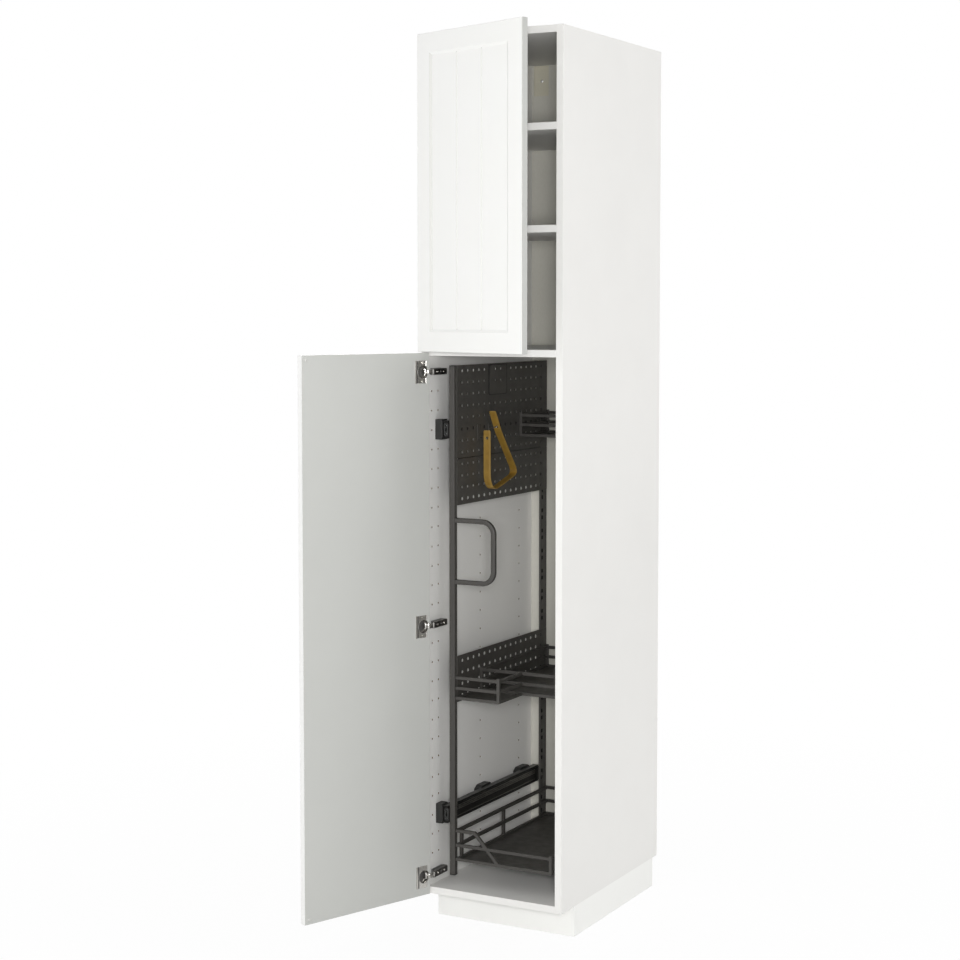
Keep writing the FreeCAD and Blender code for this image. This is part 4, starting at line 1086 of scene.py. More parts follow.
@dataclass
class Base:
    """The plinth and the levelling feet under the case.

    Sizes are in millimetres. Profiles are points of (radius, height).
    """

    shop: Workshop
    side: float = 150.0
    front: float = -170.0
    rear: float = 240.0
    top: float = 80.0
    sleeve_radius: float = 15.4
    sleeve_ribs: tuple[float, ...] = (22.0, 28.0, 56.0, 62.0)
    rib_rise: float = 0.6
    bore: float = 8.3
    bore_top: float = 60.0
    pad_profile: tuple[Point, ...] = ((0, 0.0), (24.0, 0.0), (25.0, 0.9), (25.0, 5.0), (23.8, 7.2), (21.0, 8.0),
                                      (12.0, 8.0), (12.0, 11.2), (11.4, 11.7), (8.0, 11.7))
    thread_profile: tuple[Point, ...] = ((7.4, 0.0), (8.0, 1.2), (8.0, 2.0), (7.4, 3.2))
    thread_start: float = 12.4
    thread_pitch: float = 4.2
    thread_turns: int = 10
    tip_profile: tuple[Point, ...] = ((7.0, 55.6), (6.4, 56.0), (0, 56.0))
    grips: int = 12
    grip_ring: float = 12.0
    grip_radius: float = 0.9
    grip_heights: tuple[float, float] = (8.0, 11.0)

    def build(self) -> None:
        """Build and dress the plinth, the sleeves and the feet."""
        for node in ("plinth_front", "plinth_side_left", "plinth_side_right"):
            self.shop.dress(node, 0.5)
        self.shop.dress("plinth_clips", 0.4)
        bm = bmesh.new()
        places = {Body.FOOT_FRONT_LEFT: (-self.side, self.front), Body.FOOT_FRONT_RIGHT: (self.side, self.front),
                  Body.FOOT_REAR_LEFT: (-self.side, self.rear), Body.FOOT_REAR_RIGHT: (self.side, self.rear)}
        for x, y in places.values():
            turned(bm, self.sleeve(), x, y, Axis.Z, 36)
        self.shop.add("leg_sleeves_turned", bm, Body.CARCASS, Slot.PLASTIC, ["leg_sleeves"])
        for body, (x, y) in places.items():
            self.foot(body, x, y)

    def sleeve(self) -> list[Point]:
        """Return the outline of a sleeve with its ribs, bore and flange.

        Returns:
            Points as (radius, height).
        """
        wall = self.sleeve_radius
        outline = [(0, self.bore_top), (self.bore, self.bore_top), (self.bore, 12.0), (wall - 0.8, 12.0), (wall, 12.8)]
        for rib in self.sleeve_ribs:
            crest = wall + self.rib_rise
            outline += [(wall, rib), (crest, rib + 0.8), (crest, rib + 2.2), (wall, rib + 3.0)]
        outline += [(wall, 72.0), (17.0, 75.0), (27.0, 76.4), (28.0, 77.2), (28.0, self.top), (0, self.top)]
        return outline

    def foot(self, body: Body, x: float, y: float) -> None:
        """Build one foot with its pad, adjusting collar and thread.

        Args:
            body: The foot's body.
            x: Place across the case.
            y: Place from front to rear.
        """
        bm = bmesh.new()
        outline = list(self.pad_profile)
        for turn in range(self.thread_turns):
            z = self.thread_start + turn * self.thread_pitch
            outline += [(radius, z + rise) for radius, rise in self.thread_profile]
        outline += self.tip_profile
        turned(bm, outline, x, y, Axis.Z, 36)
        for a, b in circle(x, y, self.grip_ring, self.grips):
            prism(bm, circle(a, b, self.grip_radius, 8), *self.grip_heights, Axis.Z)
        self.shop.add(body.value + "_turned", bm, body, Slot.PLASTIC, [body.value])


@dataclass
class HingedDoor:
    """One door with its bumpers and its concealed hinges.

    Sizes are in millimetres and opening is in degrees. arm_x, arm_y and cup_x, cup_y are the places of the two pivots
    with the door shut, from the front edge of the side panel's inner face. The cup's other sizes are in the door's
    own space, where x and y start at the cup pivot and y points into the case when the door is shut. The points of
    cup_outside, cup_rim and cup_inside are (inward from the cup's radius, up from its floor or, for the rim, from the
    door's face).
    """

    shop: Workshop
    name: str
    door_body: Body
    link_body: Body
    opening: float
    bottom: float
    top: float
    hinge_heights: tuple[float, ...]
    link_share: float = 0.262
    arm_x: float = 13.03
    arm_y: float = 4.68
    cup_x: float = -7.0
    cup_y: float = -7.0
    inner_left: float = -182.0
    front: float = -300.0
    cup_offset: float = 11.0
    door_face: float = 5.0
    cup_radius: float = 17.5
    cup_depth: float = 12.6
    cup_wall: float = 0.6
    cup_outside: tuple[Point, ...] = ((1.6, 0.0), (0.5, 0.8))
    cup_rim: tuple[Point, ...] = ((0.4, 0.0), (0.0, 0.1), (0.0, 0.7), (0.5, 1.0), (1.0, 0.8), (1.2, -0.4))
    cup_inside: tuple[Point, ...] = ((1.4, 2.0), (2.6, 0.7))
    cup_shade_inset: float = 2.8
    half_width: float = 198.5
    bumper_inset: float = 12.0
    bumper_profile: tuple[Point, ...] = ((4.0, 0), (4.0, 0.5), (3.4, 1.2), (2.1, 1.7), (0, 1.9))
    pin_radius: float = 1.8
    cup_pin_half: float = 8.2
    arm_pin_half: float = 8.0
    wing_arc: float = 17.2
    wing_left: float = -10.6
    wing_right: float = 16.0
    wing_tip: tuple[Point, ...] = ((16.0, 26.7), (15.5, 28.0), (14.2, 28.5), (-8.8, 28.5), (-10.1, 28.0), (-10.6, 26.7))
    wing_rise: float = 1.0
    wing_screw: Point = (2.0, 24.0)
    wing_screw_radius: float = 3.3
    wing_screw_rise: float = 0.9
    roll_across: float = -9.4
    roll_radius: float = 1.1
    roll_reach: tuple[float, float] = (15.6, 27.6)
    ear_reach: tuple[float, float] = (6.2, 8.2)
    ear_middle: Point = (0.5, 0.2)
    ear_half: float = 3.9
    ear_crown: float = 2.8
    channel_start: float = 15.8
    channel_width: float = 6.0
    channel_half: float = 28.0
    channel_rise: float = 0.5
    # Past this the channel takes the dark metal that paints its shade.
    channel_shade_from: float = 1.9
    strip_start: float = 5.4
    strip_end: float = 9.4
    strip_half: float = 28.5
    strip_rise: float = 2.4
    link_bends: tuple[Point, ...] = ((1.6, -11.5), (6.6, -5.8))
    link_bend: float = 3.0
    link_spacing: float = 0.7
    link_half: float = 1.5
    link_eye: float = 3.3
    link_reach: float = 6.0
    arm_inset: float = 2.5
    arm_nose: float = 3.5
    arm_wall: float = 1.5
    arm_cheeks: tuple[tuple[float, float], ...] = ((-7.7, -6.2), (6.2, 7.7))
    arm_cover: tuple[float, float] = (10.0, 70.5)
    arm_cover_half: float = 7.6
    arm_slot: tuple[float, float] = (34.0, 43.0)
    arm_slot_half: float = 2.2
    arm_screws: tuple[float, ...] = (21.0, 53.0)
    arm_screw_radius: float = 3.4
    arm_screw_rise: float = 1.0
    # A grey edge tone paints shade on the door's edges, as on the upper door.
    edge_tone_and_shade: Colour = (246, 246, 244)

    def build(self) -> None:
        """Build and dress the door, its bumpers and its hinges."""
        angle = math.radians(self.opening)
        finish = DoorFoil(self.name + "_door_foil", inner=(math.sin(angle), math.cos(angle), 0.0),
                          rim=self.edge_tone_and_shade).material()
        self.shop.dress(self.name + "_door", 0.7, 3, finish)
        self.bumpers()
        self.cups()
        self.links()
        self.arms()
        self.plates()

    def door_place(self) -> Matrix:
        """Return where the open door's own space lies.

        Returns:
            The place in the frame of a space whose origin is the cup pivot.
        """
        joint = next(row for row in frame["joints"] if row["name"] == self.name + "_door_pivot")
        x, y, _ = joint["pos_m"]
        return Matrix.Translation((x, y, 0)) @ Matrix.Rotation(-math.radians(self.opening), 4, "Z")

    def link_place(self) -> Matrix:
        """Return where the links' own space lies.

        Returns:
            The place in the frame of a space whose origin is the pivot on the case.
        """
        x = (self.inner_left + self.arm_x) * MM
        y = (self.front + self.arm_y) * MM
        return Matrix.Translation((x, y, 0)) @ Matrix.Rotation(math.radians(self.link_share * self.opening), 4, "Z")

    def bumpers(self) -> None:
        """Build the two soft domes on the door's free edge."""
        bm = bmesh.new()
        x = self.half_width - self.bumper_inset - (self.inner_left + self.cup_x)
        outline = [(radius, self.door_face + rise) for radius, rise in self.bumper_profile]
        for z in (self.bottom + self.bumper_inset, self.top - self.bumper_inset):
            turned(bm, outline, x, z, Axis.Y, 20)
        self.shop.add(self.name + "_bumper_domes", bm, self.door_body, Slot.WHITE_PLASTIC,
                      [self.name + "_door_bumpers"], place=self.door_place())

    def cups(self) -> None:
        """Build the cups with their wings, ears, pins and screws."""
        bm = bmesh.new()
        for z in self.hinge_heights:
            self.bowl(bm, z)
            for hand in (-1, 1):
                self.wing_parts(bm, z, hand)
            turned(bm, self.pin(z, self.cup_pin_half), 0, 0, Axis.Z, 20)
        # A dark metal that paints the shade inside the cups and in the channels beside them.
        cup_shade_metal = Metal("cup_inside", (92, 91, 89), (72, 71, 69), 0.4, metallic=0.35).material()
        finishes = (self.shop.finishes[Slot.NICKEL], cup_shade_metal)
        self.shop.add(self.name + "_cup_set", bm, self.door_body, Slot.NICKEL, [self.name + "_hinge_cups"],
                      finishes=finishes, place=self.door_place())

    def pin(self, z: float, half: float) -> list[Point]:
        """Return the outline of a pin that reaches a distance to each side of a height."""
        return [(0, z - half), (self.pin_radius, z - half), (self.pin_radius, z + half), (0, z + half)]

    def bowl(self, bm: bmesh.types.BMesh, z: float) -> None:
        """Add one cup, the channel beside it and the raised strip on the door's edge side; the cup's inside and the far
        part of the channel take a dark metal that paints their shade.

        Args:
            bm: The mesh being built.
            z: Height of the hinge.
        """
        face = self.door_face
        floor = face - self.cup_depth
        radius = self.cup_radius
        outline = [(0, floor)]
        for base, points in ((floor, self.cup_outside), (face, self.cup_rim), (floor, self.cup_inside)):
            outline += [(radius - inward, base + rise) for inward, rise in points]
        outline.append((0, floor + self.cup_wall))
        built = len(bm.faces)
        turned(bm, outline, self.cup_offset, z, Axis.Y, 40)
        gap = self.cup_offset + self.channel_start
        channel = rounded_box(gap, z - self.channel_half, gap + self.channel_width, z + self.channel_half, 0.6, 2)
        channel_face = face + self.channel_rise
        prism(bm, channel, face, channel_face, Axis.Y)
        bm.faces.ensure_lookup_table()
        # Faces deep in the cup and in the far part of the channel take the dark metal: painted shade.
        for cell in bm.faces[built:]:
            spot = cell.calc_center_median() / MM
            reach = math.hypot(spot.x - self.cup_offset, spot.z - z)
            in_cup_shade = reach < radius - self.cup_shade_inset and spot.y < channel_face
            cell.material_index = 1 if in_cup_shade or spot.x > gap + self.channel_shade_from else 0
        half = self.strip_half
        strip = rounded_box(gap + self.strip_start, z - half, gap + self.strip_end, z + half, 1.2, 3)
        prism(bm, strip, face, face + self.strip_rise, Axis.Y)

    def wing_parts(self, bm: bmesh.types.BMesh, z: float, hand: int) -> None:
        """Add one screw wing with its rolled edge and its screw, and the ear that holds the pin.

        Args:
            bm: The mesh being built.
            z: Height of the hinge.
            hand: -1 for the lower side and 1 for the upper one.
        """
        face = self.door_face
        prism(bm, self.wing(z, hand), face, face + self.wing_rise, Axis.Y)
        low, high = sorted(z + hand * reach for reach in self.roll_reach)
        prism(bm, circle(self.cup_offset + self.roll_across, face + 0.9, self.roll_radius, 10), low, high, Axis.Z)
        across, rise = self.wing_screw
        screw_head(bm, self.cup_offset + across, z + hand * rise, face + 0.7, self.wing_screw_radius,
                   self.wing_screw_rise, Axis.Y)
        low, high = sorted(z + hand * reach for reach in self.ear_reach)
        prism(bm, self.ear(), low, high, Axis.Z)

    def ear(self) -> list[Point]:
        """Return the outline of one ear, which stands on the cup's floor and has a round top.

        Returns:
            Points in the door's own space.
        """
        foot = self.door_face - self.cup_depth + self.cup_wall
        across, top = self.ear_middle
        turns = [math.pi * i / 8 for i in range(1, 8)]
        crown = [(across + self.ear_half * math.cos(turn), top + self.ear_crown * math.sin(turn)) for turn in turns]
        left = across - self.ear_half
        right = across + self.ear_half
        return [(left, foot), (right, foot), (right, top), *crown, (left, top)]

    def wing(self, z: float, hand: int) -> list[Point]:
        """Return the outline of one screw wing of a cup's flange.

        Args:
            z: Height of the hinge.
            hand: -1 for the lower wing and 1 for the upper one.

        Returns:
            Points as (across the door, height).
        """
        middle = self.cup_offset
        steps = 12
        points = []
        for i in range(steps + 1):
            across = self.wing_left + (self.wing_right - self.wing_left) * i / steps
            points.append((middle + across, z + hand * math.sqrt(self.wing_arc ** 2 - across ** 2)))
        points += [(middle + a, z + hand * b) for a, b in self.wing_tip]
        return points

    def links(self) -> None:
        """Build the cranked links with their round eyes."""
        bm = bmesh.new()
        corners = [(x - self.arm_x, y - self.arm_y) for x, y in ((self.cup_x, self.cup_y), *self.link_bends)]
        path = eased([*corners, (0.0, 0.0)], (0, self.link_bend, self.link_bend, 0), 6)
        dense = []
        for first, second in zip(path, path[1:]):
            a = Vector(first)
            b = Vector(second)
            pieces = max(1, int((b - a).length / self.link_spacing))
            dense += [a.lerp(b, i / pieces) for i in range(pieces)]
        dense.append(Vector(path[-1]))
        outline = eyed_band(dense, self.link_half, self.link_eye)
        for z in self.hinge_heights:
            prism(bm, outline, z - self.link_reach, z + self.link_reach, Axis.Z)
        eased_edges(bm, 0.4, 2, 50.0)
        self.shop.add(self.name + "_link_set", bm, self.link_body, Slot.NICKEL, [self.name + "_hinge_links"],
                      place=self.link_place())

    def arms(self) -> None:
        """Build the arms: a folded cover with a round nose, its pin and its two set screws."""
        bm = bmesh.new()
        screws = bmesh.new()
        front = self.front
        px = self.inner_left + self.arm_x
        py = front + self.arm_y
        left = self.inner_left + self.arm_inset
        right = px + self.arm_nose
        cover_start, cover_end = (front + place for place in self.arm_cover)
        slot_start, slot_end = (front + place for place in self.arm_slot)
        nose = [math.pi * (1 + i / 10) for i in range(11)]
        cheek = [(px + self.arm_nose * math.cos(turn), py + self.arm_nose * math.sin(turn)) for turn in nose]
        cheek += [(right, front + 68.0), (right - 2.0, front + 71.0), (left, front + 71.0), (left, front + 22.0),
                  (left + 4.0, front + 13.0)]
        for z in self.hinge_heights:
            for low, high in self.arm_cheeks:
                prism(bm, cheek, z + low, z + high, Axis.Z)
            cover = rounded_box(cover_start, z - self.arm_cover_half, cover_end, z + self.arm_cover_half, 2.4)
            slot = rounded_box(slot_start, z - self.arm_slot_half, slot_end, z + self.arm_slot_half, 2.1)
            pierced(bm, cover, [slot], right - self.arm_wall, right, Axis.X)
            turned(bm, self.pin(z, self.arm_pin_half), px, py, Axis.Z, 20)
            for y in self.arm_screws:
                screw_head(screws, front + y, z, right, self.arm_screw_radius, self.arm_screw_rise, Axis.X)
        self.shop.add(self.name + "_arm_set", bm, Body.CARCASS, Slot.HINGE, [self.name + "_hinge_arms"])
        self.shop.add(self.name + "_arm_screws", screws, Body.CARCASS, Slot.NICKEL)

    def plates(self) -> None:
        """Dress the mounting plates."""
        self.shop.dress(self.name + "_hinge_plates", 0.5)


def screw_head(bm: bmesh.types.BMesh, a: float, b: float, base: float, radius: float, rise: float, axis: Axis) -> None:
    """Add a domed screw head with a sunk cross.

    Args:
        bm: The mesh being built.
        a: First coordinate of the middle.
        b: Second coordinate of the middle.
        base: Where the head starts along its axis.
        radius: Radius of the head.
        rise: Height of the head.
        axis: Direction of the screw.
    """
    sides = 24
    arm = radius * 0.62
    slim = radius * 0.17
    cross = [(arm, -slim), (arm, slim), (slim, slim), (slim, arm), (-slim, arm), (-slim, slim), (-arm, slim),
             (-arm, -slim), (-slim, -slim), (-slim, -arm), (slim, -arm), (slim, -slim)]
    hole = [(a + u, b + v) for u, v in cross]
    pierced(bm, circle(a, b, radius * 0.92, sides), [hole], base + rise * 0.35, base + rise, axis)
    prism(bm, circle(a, b, radius, sides), base, base + rise * 0.36, axis)


def eyed_band(path: Sequence[Vector], half: float, eye: float) -> list[Point]:
    """Return the outline of a band that swells to a round eye at each end.

    Args:
        path: Points of its middle line.
        half: Half of its thickness.
        eye: Radius of the eyes.

    Returns:
        The closed outline.
    """
    lengths = [0.0]
    for first, second in zip(path, path[1:]):
        lengths.append(lengths[-1] + (second - first).length)
    left = []
    right = []
    for index, spot in enumerate(path):
        ahead = (path[min(index + 1, len(path) - 1)] - path[max(index - 1, 0)]).normalized()
        normal = Vector((-ahead.y, ahead.x))
        reach = half
        for gone in (lengths[index], lengths[-1] - lengths[index]):
            if gone < eye:
                reach = max(reach, math.sqrt(eye * eye - gone * gone))
        left.append(spot + normal * reach)
        right.append(spot - normal * reach)
    outline = []
    for end, ahead, run in ((path[-1], path[-1] - path[-2], left), (path[0], path[0] - path[1], right[::-1])):
        outline += [(p.x, p.y) for p in run]
        start = math.atan2(ahead.y, ahead.x) + math.pi / 2
        for i in range(1, 12):
            angle = start - math.pi * i / 12
            outline.append((end.x + eye * math.cos(angle), end.y + eye * math.sin(angle)))
    return outline


@dataclass
class Runners:
    """The telescopic runners and the brackets that hold them.

    Sizes are in millimetres.
    """

    shop: Workshop
    web: float = -143.0
    rib_start: float = -240.0
    rib_end: float = 231.0
    heights: tuple[float, float] = (281.0, 1281.0)
    rib_rise: float = 0.8
    ribs: tuple[float, ...] = (-12.5, 5.0, 9.5, 14.0)
    stop_front: float = -261.0
    stop_depth: float = 9.0
    stop_back: float = 2.0
    stop_sides: tuple[float, float] = (-14.4, -2.0)
    stop_half: float = 16.4
    stop_holes: tuple[float, ...] = (-10.5, 10.5)
    stud_profile: tuple[Point, ...] = ((0, 9.0), (1.9, 9.0), (1.9, 4.0), (1.2, 3.2), (0, 3.0))

    def build(self) -> None:
        """Dress the profiles and build their pressed ribs, whose light grey is partly worn track and partly painted
        highlight.
        """
        for level in ("lower", "upper"):
            for part in ("outer", "middle", "inner"):
                self.shop.dress(f"{level}_runner_{part}", 0.5)
        self.shop.dress("runner_brackets", 1.0, 2)
        bm = bmesh.new()
        for z in self.heights:
            for drop in self.ribs:
                self.rib(bm, z + drop)
        # The ribs' light grey is partly worn steel and partly a painted highlight along the tracks.
        rubbed = Metal("track_wear_and_highlight", (150, 149, 146), (112, 111, 108), 0.34).material()
        self.shop.add("runner_ribs", bm, Body.PULL_OUT, Slot.RUNNER, finishes=(rubbed,))
        self.stops()

    def stops(self) -> None:
        """Build the moulded stops that close the front ends of the inner profiles."""
        bm = bmesh.new()
        studs = bmesh.new()
        left, right = (self.web + side for side in self.stop_sides)
        middle = (left + right) / 2
        floor = self.stop_front + self.stop_depth
        stud = [(radius, self.stop_front + depth) for radius, depth in self.stud_profile]
        for z in self.heights:
            outline = rounded_box(left, z - self.stop_half, right, z + self.stop_half, 3.0, 4)
            holes = [circle(middle, z + rise, 2.4, 16) for rise in self.stop_holes]
            holes.append(rounded_box(middle - 2.2, z - 5.5, middle + 2.2, z + 5.5, 2.0, 4))
            pierced(bm, outline, holes, self.stop_front, floor, Axis.Y)
            prism(bm, outline, floor, floor + self.stop_back, Axis.Y)
            for rise in self.stop_holes:
                turned(studs, stud, middle, z + rise, Axis.Y, 16)
        eased_edges(bm, 0.4, 2, 50.0)
        self.shop.add("runner_stops", bm, Body.PULL_OUT, Slot.PLASTIC)
        self.shop.add("runner_stop_studs", studs, Body.PULL_OUT, Slot.STEEL)

    def rib(self, bm: bmesh.types.BMesh, z: float) -> None:
        """Add one half-round rib on the inner profile's web.

        Args:
            bm: The mesh being built.
            z: Height of the rib.
        """
        section = [(self.web, -1.6), (self.web + self.rib_rise * 0.7, -1.1), (self.web + self.rib_rise, 0.0),
                   (self.web + self.rib_rise * 0.7, 1.1), (self.web, 1.6)]
        prism(bm, [(x, z + rise) for x, rise in section], self.rib_start, self.rib_end, Axis.Y)


@dataclass
class Organiser:
    """The pull-out: posts, perforated sheets, handle and baskets.

    Sizes are in millimetres. plate is the accessory plate's front, base, rear and top.
    """

    shop: Workshop
    post_right: float = -128.0
    sheet: float = 1.5
    sheet_front: float = -246.0
    sheet_rear: float = 268.0
    post_top: float = 1446.0
    post_bottom: float = 122.0
    pitch: float = 30.0
    first_column: float = -219.6
    columns: int = 16
    top_drop: float = 15.0
    hole_radius: float = 3.9
    small_radius: float = 3.1
    lit_below: float = 1115.0
    rim: float = 0.4
    plate: tuple[float, float, float, float] = (-72.0, 1365.0, 22.0, 1441.0)
    plate_columns: tuple[int, ...] = (6, 7)
    plate_rows: tuple[int, ...] = (0, 1)
    plate_corner: float = 3.0
    # Width of the black band that paints the plate's shadow at its sides.
    shadow_band: float = 4.5
    lip: float = 2.4
    middle_top: float = 695.03
    runner_row: float = 1281.0
    runner_half: float = 12.0
    top_rows: int = 8
    lower_rows: int = 4
    seam_gap: float = 1.4
    seam_half: float = 4.0
    handle_bar: float = 12.0
    handle_reach: float = -12.0
    handle_low: float = 883.0
    handle_high: float = 1054.0
    handle_bend: float = 38.0
    handle_middle: float = -250.0
    rear_front: float = 234.0
    rear_rear: float = 270.0
    rear_wall: float = 1.5
    flange: float = 5.0
    slot_count: int = 23
    slot_start: float = 41.0
    slot_pitch: float = 56.6
    slot_lows: tuple[float, float] = (-9.5, 10.0)
    slot_height: float = 11.2
    slot_sides: tuple[float, float] = (5.0, 15.5)
    # How far short of the post's ends the black strip that paints the channel's shade stops.
    shade_sheet_ends: float = 20.0

    def build(self) -> None:
        """Build and dress the pull-out."""
        self.sheets()
        self.holder()
        self.handle()
        self.rear_post()
        self.shop.dress("front_post", 1.2, 3)
        self.shop.dress("front_post_caps", 0.8)
        for node in ("basket_bottom", "basket_middle_rear", "basket_middle_front", "basket_top"):
            self.shop.dress(node, 0.9, 2)
        self.shop.dress("basket_floors", 0.3)

    def sheets(self) -> None:
        """Build the three perforated sheets between the posts."""
        # The cut edges are painted: two greys paint the light seen through the holes, and near black paints their
        # shade.
        bright = Metal("cut_edge_painted_light", (208, 207, 203), (190, 189, 185), 0.5, metallic=0.0).material()
        shaded = MouldedPlastic("shaded_hole", (10, 10, 10), (7, 7, 7), 0.8).material()
        half_light_edge = Metal("cut_edge_painted_half_light", (138, 137, 134), (112, 111, 108), 0.5, metallic=0.0).material()
        coat = self.shop.finishes[Slot.COAT]
        seam = self.seam()
        drop = self.lower_rows * self.pitch
        second = range(self.top_rows, self.top_rows + self.lower_rows)
        runs = {
            "organiser_sheet_top": (seam + self.seam_gap, self.post_top, [self.row(i) for i in range(self.top_rows)]),
            "organiser_sheet_second": (seam - drop, seam - self.seam_gap, [self.row(i) for i in second]),
            "organiser_sheet_middle": (self.middle_top - drop, self.middle_top,
                                       [self.middle_top - self.top_drop - i * self.pitch
                                        for i in range(self.lower_rows)]),
        }
        for node, (low, high, rows) in runs.items():
            bm = bmesh.new()
            outline = rounded_box(self.sheet_front, low, self.sheet_rear, high, 1.2, 3)
            holes = [self.hole(column, z, node) for column in range(self.columns) for z in rows]
            punched(bm, outline, holes, self.rim, self.post_right, self.post_right + self.sheet, Axis.X)
            self.shop.add(node + "_pierced", bm, Body.PULL_OUT, Slot.COAT, [node],
                          finishes=(coat, bright, half_light_edge, shaded))

    def hole(self, column: int, z: float, node: str) -> Hole:
        """Return one hole of a sheet, with the colour of its cut edge, which paints the light or the shade seen through
        it.

        Args:
            column: Its column, counted from the front.
            z: Its height.
            node: The sheet it is in.

        Returns:
            The hole.
        """
        y = self.first_column + column * self.pitch
        if column == self.columns - 1 or abs(z - self.runner_row) < self.runner_half:
            return Hole(y, z, self.hole_radius, CutEdge.SHADED)
        if node == "organiser_sheet_middle" or z < self.lit_below:
            return Hole(y, z, self.hole_radius, CutEdge.PAINTED_LIGHT)
        return Hole(y, z, self.small_radius, CutEdge.PAINTED_LIGHT if z > self.row(0) - 1.0 else CutEdge.PAINTED_HALF_LIGHT)

    def row(self, index: int) -> float:
        """Return the height of a row of holes counted from the top."""
        return self.post_top - self.top_drop - index * self.pitch

    def seam(self) -> float:
        """Return the height of the seam between the top sheet and the second one."""
        return self.row(self.top_rows) + self.pitch / 2

    def holder(self) -> None:
        """Build the small accessory plate on the top sheet, a black band around it that paints its shadow and a dark
        strip behind the seam that paints the shade there.
        """
        low = self.post_right + self.sheet
        bm = bmesh.new()
        front, base, rear, top = self.plate
        corner = self.plate_corner
        outline = rounded_box(front, base, rear, top, corner, 4)
        holes = [Hole(self.first_column + column * self.pitch, self.row(index), self.small_radius)
                 for column in self.plate_columns for index in self.plate_rows]
        punched(bm, outline, holes, self.rim, low, low + self.sheet, Axis.X)
        self.shop.add("holder_plate_pierced", bm, Body.PULL_OUT, Slot.COAT, ["holder_plate"])
        # A black band around the plate and a dark strip behind the seam: painted shadow.
        shadow_band = bmesh.new()
        inner = rounded_box(front + 0.1, base + 0.1, rear - 0.1, top - 0.1, corner, 4)
        outer = rounded_box(front - self.shadow_band, base - self.lip, rear + self.shadow_band, top + self.lip, corner + self.lip, 4)
        pierced(shadow_band, outer, [inner], low, low + self.sheet * 0.7, Axis.X)
        seam = self.seam()
        strip = rounded_box(self.sheet_front + 8.0, seam - self.seam_half, self.rear_front - 2.0,
                            seam + self.seam_half, 1.0, 2)
        prism(shadow_band, strip, self.post_right - 0.7, self.post_right - 0.1, Axis.X)
        black = MouldedPlastic("black_painted_shadow", (18, 18, 18), (14, 14, 14)).material()
        self.shop.add("holder_plate_painted_shadow", shadow_band, Body.PULL_OUT, Slot.PLASTIC, finishes=(black,))

    def handle(self) -> None:
        """Build the bent square bar with its rounded corners."""
        bm = bmesh.new()
        half = self.handle_bar / 2
        low = self.handle_low + half
        high = self.handle_high - half
        radius = self.handle_bend - half
        right = self.handle_reach - half
        steps = 16
        path = [(self.post_right, low)]
        for z, first in ((low + radius, -90), (high - radius, 0)):
            for step in range(steps + 1):
                angle = math.radians(first + 90 * step / steps)
                path.append((right - radius + radius * math.cos(angle), z + radius * math.sin(angle)))
        path.append((self.post_right, high))
        spots = [Axis.Y.spot(x, z, self.handle_middle) for x, z in path]
        section = [(u * MM, v * MM) for u, v in rounded_box(-half, -half, half, half, 2.2, 4)]
        swept(bm, spots, Vector((0, 1, 0)), section)
        self.shop.add("pull_handle_bar", bm, Body.PULL_OUT, Slot.COAT, ["pull_handle"])

    def rear_post(self) -> None:
        """Build the slotted channel at the rear, with round-ended slots and a black strip inside it that paints the
        shade in the channel.
        """
        bm = bmesh.new()
        front = self.rear_front
        rear = self.rear_rear
        wall = self.rear_wall
        left, right = (front + side for side in self.slot_sides)
        slots = []
        for index in range(self.slot_count):
            for shift in self.slot_lows:
                low = self.post_bottom + self.slot_start + index * self.slot_pitch + shift
                slots.append(rounded_box(left, low, right, low + self.slot_height, 2.0, 4))
        outline = rounded_box(front, self.post_bottom, rear, self.post_top, 0.4, 1)
        pierced(bm, outline, slots, self.post_right - wall, self.post_right, Axis.X)
        edge = self.post_right - self.flange
        web = self.post_right - wall
        for low, high in ((front, front + wall), (rear - wall, rear)):
            points = ((edge, low), (web, low), (web, high), (edge, high))
            prism(bm, points, self.post_bottom, self.post_top, Axis.Z)
        self.shop.add("rear_post_slotted", bm, Body.PULL_OUT, Slot.COAT, ["rear_post"])
        # A black strip inside the channel: painted shade behind the slots.
        shade_sheet = bmesh.new()
        inset = web - 0.6
        play = wall + 0.2
        low, high = self.post_bottom + self.shade_sheet_ends, self.post_top - self.shade_sheet_ends
        prism(shade_sheet, rounded_box(front + play, low, rear - play, high, 1.0, 2), inset - 1.2, inset, Axis.X)
        black = MouldedPlastic("black_painted_shade", (9, 9, 9), (6, 6, 6), 0.85).material()
        self.shop.add("rear_post_painted_shade", shade_sheet, Body.PULL_OUT, Slot.PLASTIC, finishes=(black,))


